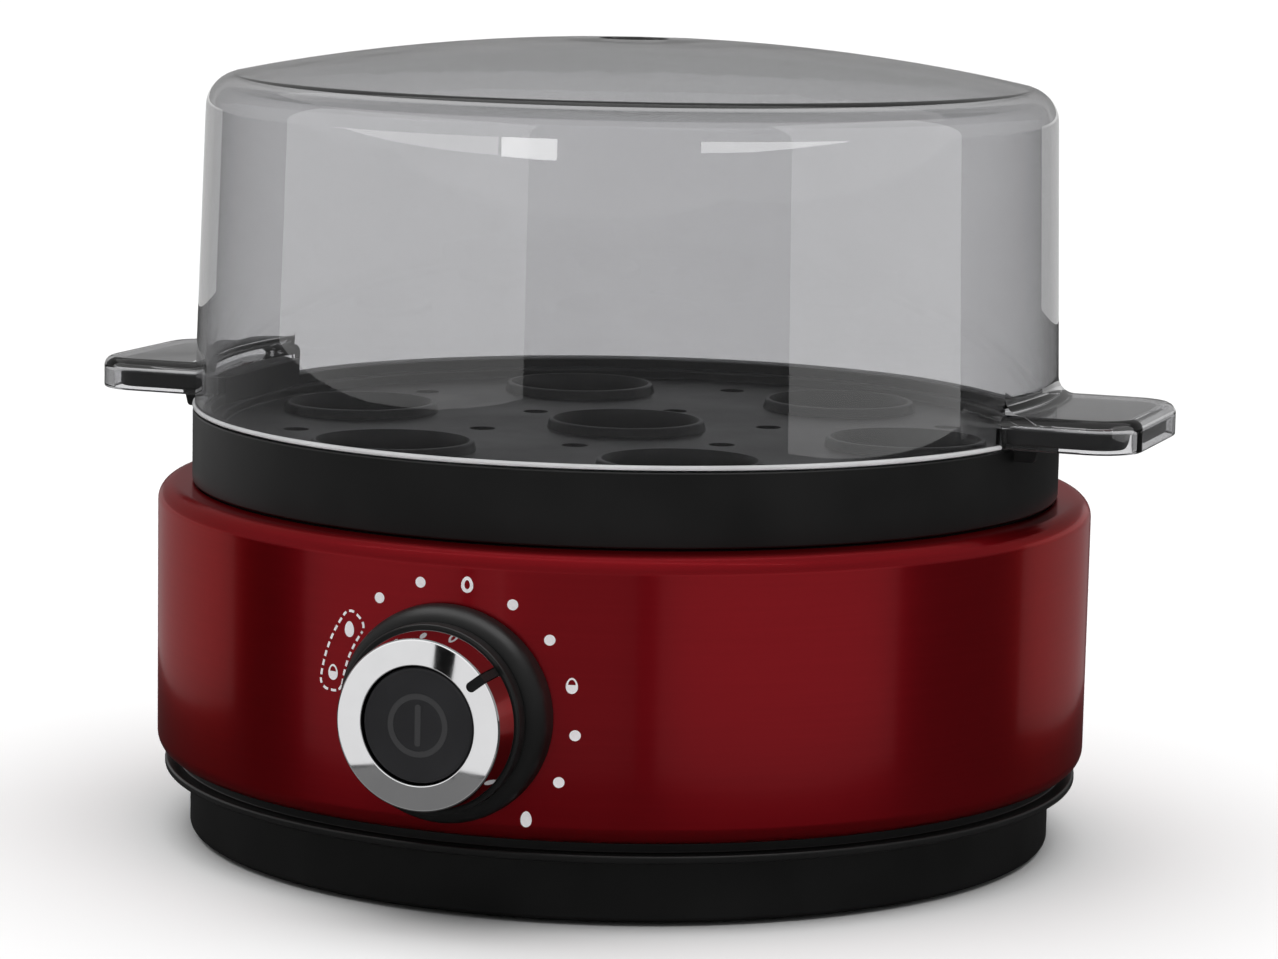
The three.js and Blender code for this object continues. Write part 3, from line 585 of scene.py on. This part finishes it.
def floor_plate():
    """Floor with the foot ring, the flange under the skin and the spigot inside it."""
    wall, flange, flange_low, flange_top = 2.5, 91.4, 12.15, 13.75
    low, high = 10.4, 12.8
    spigot, spigot_top, spigot_wall = 88.8, 19, 1.9
    boss, boss_low, boss_high, stem_hole = 8, 1.2, 11.5, 2.8
    corners = [
        (0, low), (RING - wall, low, 0.6), (RING - wall, 0, 0.5), (RING, 0, 0.9),
        (RING, flange_low, 0.25), (flange, flange_low, 0.5), (flange, flange_top, 0.5),
        (spigot, flange_top, 0.3), (spigot, spigot_top, 0.4), (spigot - spigot_wall, spigot_top, 0.4),
        (spigot - spigot_wall, high, 0.5), (0, high),
    ]
    made = turned("base_plate_skin", rounded(corners, 4))
    corners = [(0, boss_low), (boss, boss_low, 0.6), (boss, boss_high), (0, boss_high)]
    bosses = [turned("boss", rounded(corners), FEW, standing_at(at)) for at in FEET_AT]
    combine(made, bosses, "UNION")
    holes = [rod("hole", stem_hole, 0, 7, at) for at in FEET_AT]
    holes += [rod("hole", SCREW_HOLE, 5, 16, at) for at in SHELL_SCREWS_AT]
    holes.append(rod("hole", GLAND_HOLE, 5, 16, GLAND_AT))
    notch = soft_box("notch", (-4.5, 4.5), (80, 90), (-6, 7.5), 1.0)
    return dress(combine(made, [*holes, notch], "DIFFERENCE"), "base", "black_plastic", "base_plate")


def feet():
    """Four rubber pads, each with a dimple in its sole and a stem in its boss."""
    sole = size_of("rubber_foot_1")[0].z - GROUND
    pad, pad_top, stem, stem_top = 7, 0.9, 2.5, 6.5
    corners = [(0, sole + 0.25), (4.6, sole + 0.25, 0.2), (5.0, sole, 0.2), (pad, sole, 0.6),
               (pad, pad_top, 0.3), (stem, pad_top), (stem, stem_top, 0.5), (0, stem_top)]
    for i, at in enumerate(FEET_AT):
        foot = turned(f"foot_{i + 1}", rounded(corners, 4), FEW, standing_at(at))
        dress(foot, "base", "rubber", f"rubber_foot_{i + 1}")


def screw_head(name, at, face, node):
    """Pan-head screw seen from below, with a cross recess; its shank runs up."""
    place = standing_at(at)
    head, height, shank, length = 2.8, 1.6, 1.2, 7.0
    long, narrow, depth = (-1.6, 1.6), (-0.28, 0.28), 0.9
    low = face - height
    corners = [(0, low), (head, low, 0.8), (head, face, 0.2), (shank, face),
               (shank, face + length), (0, face + length)]
    made = turned(name, rounded(corners, 4), 32, place)
    slots = [soft_box("slot", x, y, (low - 1, low + depth), 0.1, place=place)
             for x, y in ((long, narrow), (narrow, long))]
    for slot in slots:
        combine(made, [slot], "DIFFERENCE")
    dress(made, "base", "steel", node)


def underside():
    """Cord reel, the screws seen from below and the cord's gland."""
    drum, rim, bottom, wall, top = 34, 44, 2, 2, 10.1
    floor = bottom + wall
    corners = [(0, bottom), (rim, bottom, 0.8), (rim, floor, 0.8), (drum, floor, 1.0),
               (drum, top, 0.3), (drum - wall, top, 0.3), (drum - wall, floor), (0, floor)]
    reel = turned("cord_reel_skin", rounded(corners, 4), MIDDLE)
    holes = [rod("hole", SCREW_HOLE, 0, 5, at) for at in REEL_SCREWS_AT]
    dress(combine(reel, holes, "DIFFERENCE"), "base", "black_plastic", "cord_reel")
    for i, at in enumerate(REEL_SCREWS_AT):
        screw_head(f"reel_screw_head_{i + 1}", at, 1.7, f"reel_screw_{i + 1}")
    for i, at in enumerate(SHELL_SCREWS_AT):
        screw_head(f"shell_screw_head_{i + 1}", at, top, f"shell_screw_{i + 1}")
    corners = [(3.4, 8, 0.4), (7, 8, 0.8), (7, 10.1, 0.2), (4.9, 10.1), (4.9, 13.1), (6.2, 13.1, 0.2),
               (5.4, 15, 0.4), (3.4, 15, 0.3)]
    gland = turned("gland_bush", rounded(corners, 4), FEW, standing_at(GLAND_AT))
    dress(gland, "base", "rubber", "cord_gland")


# ---------------------------------------------------------------- bowl


def bowl():
    """Pressed steel bowl with a flat rim, and the silicone seal under the rim."""
    radius, wall, bottom, corner = 75.6, 1.2, 52.0, 9.0
    rim, rim_low, rim_top = 83.4, 70.3, 71.2
    bend = radius - corner
    profile = [
        (0, bottom), *arc(bend, bottom + corner, corner, -90, 0, 10), (radius, rim_low - 0.6),
        (radius + 0.5, rim_low), *arc(rim - 0.45, rim_low + 0.45, 0.45, -90, 90, 5),
        *arc(radius + 0.4, rim_top - 1.6, 1.6, 90, 180, 5),
        *arc(bend, bottom + corner, corner - wall, 0, -90, 10), (0, bottom + wall),
    ]
    dress(turned("bowl_skin", profile), "base", "bowl_steel", "heating_bowl")
    inner, outer, low, high, edge = 78, 82.6, 69.2, 70.1, 0.35
    corners = [(inner, low, edge), (outer, low, edge), (outer, high, edge), (inner, high, edge)]
    dress(turned("seal_skin", rounded(corners, 3)), "base", "silicone", "bowl_seal")


# ---------------------------------------------------------------- egg tray


def grip(angle):
    """Flat grip of the tray, with its root in the ring's wall and two ribs under it."""
    place = turned_about(angle)
    width = (-GRIP_HALF, GRIP_HALF)
    made = soft_box("grip", (80.5, GRIP_REACH), width, (84.3, GRIP_TOP), 5.5, 0.9, 0.6, place)
    root = soft_box("root", (80.4, 83.4), width, (79.5, GRIP_TOP - 0.5), 0.5, place=place)
    ribs = []
    for side in (-16, 16):
        outline = rounded([(84.5, 81), (88.6, 81, 0.8), (89.6, 85.3), (84.5, 85.3)])
        upright = Matrix.Translation(Vector((0, side, 0))) @ Matrix.Rotation(math.pi / 2, 4, "X")
        ribs.append(prism("rib", outline, -1.1, 1.1, place @ upright))
    combine(made, [root], "UNION")
    return combine(made, ribs, "UNION")


def tray():
    """Egg tray: seven seats with raised collars, steam holes, the outer ring and two grips."""
    thick, wall, curb, groove = 2.0, 2.0, 83.8, 82.3
    curb_top = TRAY_TOP + 0.9
    corners = [
        (0, PLATE_TOP - thick), (RING - wall, PLATE_TOP - thick, 0.6), (RING - wall, TRAY_BOTTOM, 0.4),
        (RING, TRAY_BOTTOM, 0.5), (RING, TRAY_TOP, 0.35), (curb, TRAY_TOP, 0.2),
        (curb, curb_top, 0.4), (curb - 1.4, curb_top, 0.4), (curb - 1.4, groove, 0.3),
        (curb - 3.6, groove, 0.5), (curb - 3.6, PLATE_TOP, 0.4), (0, PLATE_TOP),
    ]
    made = turned("tray_skin", rounded(corners, 4))
    seats = [(0, 0), *around(6, SEAT_CIRCLE)]
    lip = [(SEAT - 1, PLATE_TOP - 1), (SEAT + 2.2, PLATE_TOP - 1), (SEAT + 1.4, 82.2, 0.5),
           (SEAT - 1, 82.2)]
    collars = [turned("lip", rounded(lip, 4), 72, standing_at(at)) for at in seats]
    combine(made, collars, "UNION")
    throat = [(0, 76), (SEAT, 76), (SEAT, 80.6), (SEAT + 1.1, 83.5), (0, 83.5)]
    holes = [turned("hole", throat, 72, standing_at(at)) for at in seats]
    steam = [*around(6, 29, 30), *around(6, 66, 30)]
    holes += [rod("hole", 2.6, 76, 84, at, 24) for at in steam]
    combine(made, holes, "DIFFERENCE")
    grips = [grip(angle) for angle in (0, 180)]
    return dress(combine(made, grips, "UNION"), "egg_tray", "black_plastic", "egg_tray")


# ---------------------------------------------------------------- lid

LID_FOOT = 86.0             # outer radius at the foot
LID_SHOULDER = 84.1         # outer radius where the wall meets the shoulder
SHOULDER_Z = 143.0
SHOULDER_ROUND = 6.85
DOME_EDGE = 78.64           # radius where the shoulder meets the dome
DOME_EDGE_Z = 149.75
DISH = 6.0                  # radius of the dish with the steam vents
DISH_DEPTH = 0.7
HANDLE_HALF = 22.0          # half the width of a handle
HANDLE_BOTTOM = 83.8
HANDLE_TOP = 90.2
HANDLE_WALL = 2.0
HANDLE_CORNER = 9.0


def lid_line(inset):
    """Outer line of the lid from its foot to the dish in its top, moved inwards by inset."""
    rise = LID_TOP - DOME_EDGE_Z
    dome = (DOME_EDGE ** 2 + rise ** 2) / (2 * rise)
    start = math.degrees(math.acos(DOME_EDGE / dome))
    stop = math.degrees(math.acos((DISH + 1) / dome))
    heights = [LID_BOTTOM, LID_BOTTOM + 8, LID_BOTTOM + 16]
    slope = (LID_SHOULDER - LID_FOOT) / (SHOULDER_Z - LID_BOTTOM)
    wall = [(LID_FOOT + slope * (z - LID_BOTTOM) - inset, z) for z in heights]
    middle = LID_SHOULDER - SHOULDER_ROUND
    return [*wall, *arc(middle, SHOULDER_Z, SHOULDER_ROUND - inset, 0, start, 12),
            *arc(0, LID_TOP - dome, dome - inset, start, stop, 10)[1:]]


def handle(place):
    """Outside of a handle, with a cove between its top and the lid's wall."""
    half, bottom, top, fillet = HANDLE_HALF, HANDLE_BOTTOM, HANDLE_TOP, 3.2
    inside, tuck = LID_FOOT - 1, top - 0.8
    reach = (70, LID_REACH)
    made = soft_box("handle", reach, (-half, half), (bottom, top), HANDLE_CORNER, 2.0, 0.5, place)
    cavity = turned("cavity", [(0, 60), (inside, 60), (inside, 100), (0, 100)])
    combine(made, [cavity], "DIFFERENCE")
    sweep = arc(LID_FOOT + fillet - 0.3, top + fillet, fillet, 180, 270, 8)
    cove = turned("cove", [(inside, tuck), (inside, top + fillet), *sweep, (LID_FOOT + fillet, tuck)])
    limit = soft_box("limit", reach, (-half + 2, half - 2), (bottom, top + 9), 4.0, place=place)
    return combine(made, [combine(cove, [limit], "INTERSECT")], "UNION")


def handle_hollow(place):
    """Space inside a handle, open below, and the doorway in the lid's wall for the tray's grip."""
    half, bottom, top, wall = HANDLE_HALF, HANDLE_BOTTOM, HANDLE_TOP, HANDLE_WALL
    inside = LID_FOOT - 0.9
    made = soft_box("hollow", (70, LID_REACH - wall), (wall - half, half - wall),
                    (bottom - 2, top - wall), HANDLE_CORNER - wall, 0.8, place=place)
    inner = turned("inner", [(0, 50), (inside, 50), (inside, 96), (0, 96)])
    combine(made, [inner], "DIFFERENCE")
    doorway = soft_box("door", (78, 90), (-19.2, 19.2), (LID_BOTTOM - 3, top - wall), 1.0, place=place)
    return combine(made, [doorway], "UNION")


def lid_rim():
    """Bead along the lid's foot, between the handles, in the pale finish that paints a bright highlight
    line on it.
    """
    bead, low = 0.45, LID_BOTTOM + 0.6
    made = turned("lid_rim", [*arc(LID_FOOT - 0.05, low, bead, -90, 90, 6), (LID_FOOT - 0.4, low)])
    ends = [soft_box("gap", (70, 100), (-HANDLE_HALF, HANDLE_HALF), (80, 90), 1.0,
                     place=turned_about(angle)) for angle in (0, 180)]
    dress(combine(made, ends, "DIFFERENCE"), "lid", "clear_plastic", material=RIM_PAINTED_HIGHLIGHT)


def lid():
    """Clear lid with a dished top, three steam vents and a hollow handle on each side."""
    outside, inside = lid_line(0), lid_line(LID_WALL)
    dish = LID_TOP - DISH_DEPTH
    outside += [*arc(DISH + 0.3, dish + 0.5, 0.5, 0, -90, 3), (0, dish)]
    inside += [(0, dish - LID_WALL)]
    foot = [(LID_FOOT - LID_WALL + 0.3, LID_BOTTOM), (LID_FOOT - 0.5, LID_BOTTOM)]
    outer_wall = [(LID_FOOT - 0.1, LID_BOTTOM + 0.4), *outside[1:]]
    inner_wall = [(LID_FOOT - LID_WALL, LID_BOTTOM + 0.3), *inside[1:]]
    made = turned("lid_skin", [*reversed(inner_wall), *foot, *outer_wall])
    for angle in (0, 180):
        place = turned_about(angle)
        combine(made, [handle(place)], "UNION")
        combine(made, [handle_hollow(place)], "DIFFERENCE")
    vents = [rod("vent", 1.1, 150, 160, at, 20) for at in around(3, 3.2, 90)]
    lid_rim()
    return dress(combine(made, vents, "DIFFERENCE"), "lid", "clear_plastic", "lid")


# ---------------------------------------------------------------- knob, bezel and button

POINTER_ANGLE = 52.4


def knob():
    """Chrome ring with its black pointer, and the black core that carries both."""
    face, front, rear, bore, back = KNOB_FACE, 15.64, 16.75, 10.9, 100.9
    corners = [
        (bore, face - 1.8), (front - 0.6, face - 1.8), (rear - 1.3, back), (rear, back, 0.3),
        (front + 0.12, face - 0.25, 0.45), (bore, face, 0.25),
    ]
    ring = turned("knob_chrome", rounded(corners, 5), MIDDLE, DIAL)
    aim = DIAL @ Matrix.Rotation(math.radians(-POINTER_ANGLE), 4, "Z")
    slot = soft_box("slot", (-0.95, 0.95), (12.1, 20), (98, 108), 0.9, place=aim)
    chrome_ring = dress(combine(ring, [slot], "DIFFERENCE"), "knob", "chrome", "knob_ring")
    inlay = soft_box("pointer", (-0.75, 0.75), (12.3, 20), (back + 0.1, face - 0.1), 0.7, place=aim)
    corners = [(11, back - 1), (rear, back - 1), (front + 0.1, face), (11, face)]
    combine(inlay, [turned("limit", corners, 96, DIAL)], "INTERSECT")
    dress(inlay, "knob", "black_plastic", "knob_pointer")

    collar, collar_back, sleeve, groove = 17.5, 97.7, 13.0, 11.9
    corners = [
        (6.2, 77.5), (7.8, 77.5), (7.8, 83.6), (sleeve, 83.6), (sleeve, 84.7), (groove, 84.7),
        (groove, 86.1), (sleeve, 86.1), (sleeve, collar_back), (collar, collar_back, 0.3),
        (collar, back - 0.3, 0.3), (14.9, back - 0.3), (14.6, face - 2.1), (11.3, face - 2.1, 0.2),
        (11.3, 99.2), (6.2, 99.2),
    ]
    core = turned("knob_core", rounded(corners, 4), MIDDLE, DIAL)
    return chrome_ring, dress(core, "knob", "black_plastic", "knob_body")


def bezel():
    """Fixed black ring on the housing that the knob turns in."""
    bore, rim, front, shoulder = 13.4, 20.2, 97.3, 3.4
    sleeve, sleeve_back, skin = 18.5, 86.5, BODY + 0.15
    profile = [
        (bore, 88), (rim, 88), *arc(rim - shoulder, front - shoulder, shoulder, 0, 90, 12),
        *arc(bore + 0.4, front - 0.4, 0.4, 90, 180, 3),
    ]
    made = turned("bezel_skin", profile, MIDDLE, DIAL)
    body = turned("body", [(0, 0), (skin, 0), (skin, 80), (0, 80)])
    combine(made, [body], "DIFFERENCE")
    corners = [(bore, sleeve_back), (sleeve, sleeve_back), (sleeve, front - 2), (bore, front - 2)]
    combine(made, [turned("sleeve", corners, MIDDLE, DIAL)], "UNION")
    return dress(made, "base", "black_plastic", "knob_bezel")


def button():
    """Button cap with the printed ring and bar of its on/off symbol."""
    radius, front, skirt, inner, web = 10.6, 106.0, 101.2, 9.4, 103.9
    corners = [(0, web), (inner, web), (inner, skirt), (radius, skirt), (radius, front, 0.6), (0, front)]
    cap = turned("button_face", rounded(corners, 6), MIDDLE, DIAL)
    dress(cap, "button", "button_plastic", "button_cap")
    lift, ink = front - 0.03, front + 0.02
    circle = turned("symbol_ring", [(4.75, lift), (5.8, lift), (5.8, ink), (4.75, ink)], 96, DIAL)
    dress(circle, "button", "button_plastic", material=SYMBOL_GREY)
    bar = soft_box("symbol_bar", (-0.55, 0.55), (-3.8, 3.8), (lift, ink), 0.5, place=DIAL)
    dress(bar, "button", "button_plastic", material=SYMBOL_GREY)


def button_spring():
    """Return spring, a coil of wire standing on its rear end."""
    wire, coil, turns, steps = 0.38, 4.75, 4, 24
    rear, front = 88.8, 95.2
    layers = []
    for i in range(turns * steps + 1):
        way = math.tau * i / steps
        out = Vector((math.cos(way), math.sin(way), 0))
        middle = out * coil + Vector((0, 0, rear + (front - rear) * i / (turns * steps)))
        layers.append([middle + out * x - Vector((0, 0, z)) for x, z in around(8, wire)])
    made = dress(lofted("return_spring", layers, DIAL), "base", "steel", "button_spring")
    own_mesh(made)


# ---------------------------------------------------------------- printed scale

MARK_CIRCLE = 24.2          # radius of the circle of marks
MARK_FIRST = -78.0          # angle of the first mark from the top, clockwise
MARK_STEP = 21.8
INK = 0.04                  # thickness of the print


def on_shell(points, angle=None, inner=BODY - 0.08, outer=BODY + INK):
    """Dial-plane points, moved out to a mark's place, as a thin layer of ink on the housing."""
    if angle is not None:
        shift = Vector((math.sin(math.radians(angle)), math.cos(math.radians(angle)))) * MARK_CIRCLE
        points = [(x + shift.x, y + shift.y) for x, y in points]
    layers = []
    for radius in (inner, outer):
        layers.append([(x, y, math.sqrt(radius ** 2 - x ** 2)) for x, y in points])
    return lofted("ink", layers, DIAL)


def ring_mark(outline, hole, angle):
    """Mark with a hole through it."""
    return combine(on_shell(outline, angle), [on_shell(hole, angle, BODY - 1, BODY + 1)], "DIFFERENCE")


def dash(path, width):
    """Short stroke along a few points."""
    left, right = [], []
    for i, here in enumerate(path):
        ahead = Vector(path[min(i + 1, len(path) - 1)]) - Vector(path[max(i - 1, 0)])
        side = Vector((-ahead.y, ahead.x)).normalized() * width / 2
        left.append(tuple(Vector(here) + side))
        right.append(tuple(Vector(here) - side))
    return on_shell([*right, *reversed(left)])


def along(path, start, length, steps=4):
    """Points on a closed path from one distance along it, over a length."""
    total = [0.0]
    for a, b in zip(path, path[1:] + path[:1]):
        total.append(total[-1] + (Vector(b) - Vector(a)).length)
    found = []
    for i in range(steps + 1):
        at = (start + length * i / steps) % total[-1]
        k = max(j for j, t in enumerate(total[:-1]) if t <= at)
        a, b = Vector(path[k]), Vector(path[(k + 1) % len(path)])
        share = (at - total[k]) / max(total[k + 1] - total[k], 1e-9)
        found.append(tuple(a.lerp(b, share)))
    return found


def group_frame():
    """Dashed line round the first two marks."""
    inner, outer, start, stop, corner = 21.8, 26.7, -86.0, -48.5, 1.8
    steps, count, filled, stroke = 10, 22, 0.62, 0.45

    def polar(radius, angle):
        return (radius * math.sin(math.radians(angle)), radius * math.cos(math.radians(angle)))

    spread = [start + (stop - start) * i / steps for i in range(steps + 1)]
    corners = [(*polar(outer, a), corner if a in (start, stop) else 0) for a in spread]
    corners += [(*polar(inner, a), corner if a in (start, stop) else 0) for a in reversed(spread)]
    path = rounded(corners, 5)
    length = sum((Vector(b) - Vector(a)).length for a, b in zip(path, path[1:] + path[:1]))
    pitch = length / count
    return [dash(along(path, pitch * i, pitch * filled), stroke) for i in range(count)]


def scale_marks():
    """Eleven marks from the softest egg to the hardest, with the off mark at the fifth."""
    angle = [MARK_FIRST + MARK_STEP * i for i in range(11)]
    marks = [on_shell(arc(0, 0, 1.0, 0, 345, 23), angle[i]) for i in (2, 3, 5, 6, 8, 9)]
    marks += [on_shell(egg_outline(2.95, 2.0), angle[i]) for i in (1, 10)]
    marks.append(ring_mark(egg_outline(3.0, 2.3), egg_outline(1.7, 1.05), angle[4]))
    for i in (0, 7):
        window = [(x, (y + 0.1) * 1.45) for x, y in arc(0, 0, 0.68, 0, 180, 12)]
        marks.append(ring_mark(egg_outline(2.95, 2.1), window, angle[i]))
    marks += group_frame()
    dress(merged("dial_marks", marks), "base", "red_lacquer", material=WHITE_INK)


# ---------------------------------------------------------------- the whole cooker

housing_piece = housing()
plate_piece = floor_plate()
feet()
underside()
bowl()
tray_piece = tray()
lid_piece = lid()
ring_piece, core_piece = knob()
bezel_piece = bezel()
button()
button_spring()
scale_marks()

# ---------------------------------------------------------------- studio


def mirrored_share(tree):
    """One on a ray that was mirrored last, and less on one that was mirrored and then went through."""
    rays = tree.nodes.new("ShaderNodeLightPath")
    share_through = 0.45

    def math_node(operation, first, second):
        made = tree.nodes.new("ShaderNodeMath")
        made.operation = operation
        tree.links.new(first, made.inputs[0])
        if isinstance(second, float):
            made.inputs[1].default_value = second
        else:
            tree.links.new(second, made.inputs[1])
        return made.outputs[0]

    last = math_node("SUBTRACT", rays.outputs["Is Glossy Ray"], rays.outputs["Is Transmission Ray"])
    before = math_node("MINIMUM", rays.outputs["Glossy Depth"], share_through)
    return math_node("MAXIMUM", last, before)


def stage_floor():
    """Pale paper, seen as dim grey in anything the cooker mirrors."""
    size, paper, mirrored = 6.0, 0.86, 0.07
    mesh = bpy.data.meshes.new("floor")
    mesh.from_pydata([(-size, -size, 0), (size, -size, 0), (size, size, 0), (-size, size, 0)], [],
                     [(0, 1, 2, 3)])
    made = bpy.data.objects.new("floor", mesh)
    bpy.context.scene.collection.objects.link(made)
    f = Finish("floor", (paper,) * 3, 0.8, Specular_IOR_Level=0.0)
    f.colors(mirrored_share(f.tree), (paper,) * 3, (mirrored,) * 3)
    mesh.materials.append(f.material)


def facing(azimuth):
    """Direction away from the cooker. Azimuth 0 is in front of the dial and 90 on the right."""
    angle = math.radians(azimuth)
    return Vector((math.sin(angle), -math.cos(angle), 0))


def link_to(lamp, *receivers):
    """Lets a lamp light these pieces only."""
    lit = bpy.data.collections.new(f"{lamp.name}_receivers")
    for piece in receivers:
        lit.objects.link(piece)
    lamp.light_linking.receiver_collection = lit


def glossy_lamp(name, width, depth, radiance):
    """Rectangular lamp that only shows in what the cooker mirrors."""
    data = bpy.data.lights.new(name, "AREA")
    data.shape = "RECTANGLE"
    data.size, data.size_y = width, depth
    data.energy = radiance * math.pi * width * depth
    lamp = bpy.data.objects.new(name, data)
    lamp.visible_camera = lamp.visible_transmission = lamp.visible_diffuse = False
    bpy.context.scene.collection.objects.link(lamp)
    return lamp


def panel(name, receiver, azimuth, distance, width, low, high, radiance):
    """Upright softbox facing the cooker, seen only in what one piece mirrors."""
    away = facing(azimuth)
    lamp = glossy_lamp(name, width, high - low, radiance)
    lamp.location = away * distance + Vector((0, 0, (low + high) / 2))
    lamp.rotation_mode = "QUATERNION"
    lamp.rotation_quaternion = away.to_track_quat("Z", "Y")
    link_to(lamp, receiver)


def overhead(name, receivers, forward, height, width, depth, radiance):
    """Lamp above the cooker and in front of it, seen only in what some pieces mirror."""
    lamp = glossy_lamp(name, width, depth, radiance)
    lamp.location = (0, -forward, height)
    link_to(lamp, *receivers)


def floor_glow(name, receiver, azimuth, distance, width, depth, radiance):
    """Lit stretch of floor, seen only in what one piece mirrors."""
    lamp = glossy_lamp(name, width, depth, radiance)
    lamp.location = facing(azimuth) * distance + Vector((0, 0, 0.0005))
    lamp.rotation_euler = (math.pi, 0, math.radians(azimuth))
    link_to(lamp, receiver)


def flag(name, grey, near, far, near_width, far_width, height):
    """Dark card on the floor that turns up at its far end and only darkens what the cooker mirrors.

    near and far are (azimuth, distance) of the card's two ends.
    """
    start, end = (facing(azimuth) * distance for azimuth, distance in (near, far))
    side = (end - start).normalized().cross(Vector((0, 0, 1)))
    lift, top = Vector((0, 0, 0.0004)), Vector((0, 0, height))
    corners = [start - side * near_width / 2 + lift, start + side * near_width / 2 + lift,
               end + side * far_width / 2 + lift, end - side * far_width / 2 + lift,
               end + side * far_width / 2 + top, end - side * far_width / 2 + top]
    mesh = bpy.data.meshes.new(name)
    mesh.from_pydata([tuple(c) for c in corners], [], [(0, 1, 2, 3), (3, 2, 4, 5)])
    made = bpy.data.objects.new(name, mesh)
    made.visible_camera = made.visible_transmission = made.visible_diffuse = made.visible_shadow = False
    bpy.context.scene.collection.objects.link(made)
    mesh.materials.append(satin_black(name, (grey,) * 3, 0.9))


def world_light():
    """Bright overhead and dim all round. The camera sees a pale backdrop, and mirrors see dim grey."""
    overhead_light, around_it, backdrop, mirrored = 2.6, 0.30, 0.97, 0.28
    world = bpy.data.worlds.new("studio")
    world.use_nodes = True
    tree = world.node_tree
    shader = tree.nodes["Background"]
    direction = tree.nodes.new("ShaderNodeTexCoord")
    split = tree.nodes.new("ShaderNodeSeparateXYZ")
    height = tree.nodes.new("ShaderNodeMapRange")
    height.interpolation_type = "SMOOTHSTEP"
    limits = (("From Min", 0.68), ("From Max", 0.84), ("To Min", around_it), ("To Max", overhead_light))
    for socket, value in limits:
        height.inputs[socket].default_value = value
    rays = tree.nodes.new("ShaderNodeLightPath")
    seen = tree.nodes.new("ShaderNodeMath")
    seen.operation = "MAXIMUM"
    direct = tree.nodes.new("ShaderNodeMix")
    direct.inputs["B"].default_value = backdrop
    bounced = tree.nodes.new("ShaderNodeMix")
    bounced.inputs["B"].default_value = mirrored
    tree.links.new(direction.outputs["Generated"], split.inputs[0])
    tree.links.new(split.outputs["Z"], height.inputs["Value"])
    tree.links.new(rays.outputs["Is Camera Ray"], seen.inputs[0])
    tree.links.new(rays.outputs["Is Transmission Ray"], seen.inputs[1])
    tree.links.new(seen.outputs[0], direct.inputs["Factor"])
    tree.links.new(height.outputs["Result"], direct.inputs["A"])
    tree.links.new(mirrored_share(tree), bounced.inputs["Factor"])
    tree.links.new(direct.outputs["Result"], bounced.inputs["A"])
    tree.links.new(bounced.outputs["Result"], shader.inputs["Strength"])
    shader.inputs["Color"].default_value = (1, 1, 1, 1)
    bpy.context.scene.world = world


stage_floor()
world_light()

# overhead: forward, height, width, depth, radiance
# panel: azimuth, distance, width, lower edge, upper edge, radiance
overhead("shoulder_strip", [housing_piece], 0.27, 1.0, 1.6, 0.02, 2.4)
overhead("black_softbox", [plate_piece, tray_piece, bezel_piece, core_piece], 0.1, 1.0, 1.6, 1.0, 2.2)
panel("red_left", housing_piece, -97, 0.203, 0.205, 0.001, 0.07, 0.40)
panel("red_front", housing_piece, -24, 0.193, 0.158, 0.001, 0.075, 0.33)
panel("red_middle", housing_piece, 10, 0.21, 0.10, 0.001, 0.075, 0.20)
panel("red_right", housing_piece, 52, 0.197, 0.18, 0.001, 0.075, 0.37)
panel("red_back", housing_piece, 136, 0.198, 0.17, 0.001, 0.09, 0.38)
panel("plinth_left", plate_piece, -92, 0.4, 0.6, 0.001, 0.3, 0.30)
panel("ring_left", tray_piece, -92, 0.4, 0.6, 0.001, 0.3, 0.22)
overhead("lid_softbox", [lid_piece], 0.3, 1.2, 3.0, 2.4, 0.6)
panel("lid_glow", lid_piece, 199.8, 0.9, 1.6, 0.01, 0.15, 0.6)
panel("right_softbox", lid_piece, 84.3, 0.422, 0.40, 0.05, 0.5, 1.6)
panel("left_softbox", lid_piece, -42, 0.6, 0.9, 0.05, 0.6, 1.2)
panel("left_strip", lid_piece, -35, 0.42, 0.36, 0.137, 0.142, 2.5)
panel("front_strip", lid_piece, -4, 0.42, 0.10, 0.137, 0.145, 8.0)
panel("right_strip", lid_piece, 55, 0.42, 0.28, 0.140, 0.147, 5.0)
panel("dial_softbox", ring_piece, -12, 0.207, 0.20, 0.001, 0.2, 0.74)

# floor_glow: azimuth, distance, width, depth, radiance
floor_glow("dial_far", ring_piece, -12, 0.180, 0.20, 0.05, 0.12)
floor_glow("dial_near", ring_piece, -12, 0.140, 0.20, 0.03, 0.30)

# flag: grey, near end, far end, width at either end, height of the part turned up
flag("left_flag", 0.005, (-44, 0.141), (-62.5, 0.316), 0.036, 0.105, 0.06)
flag("dial_flag", 0.0, (-8.65, 0.1990), (-8.65, 0.1991), 0.0072, 0.0072, 0.06)

bpy.context.scene.view_settings.view_transform = "Standard"
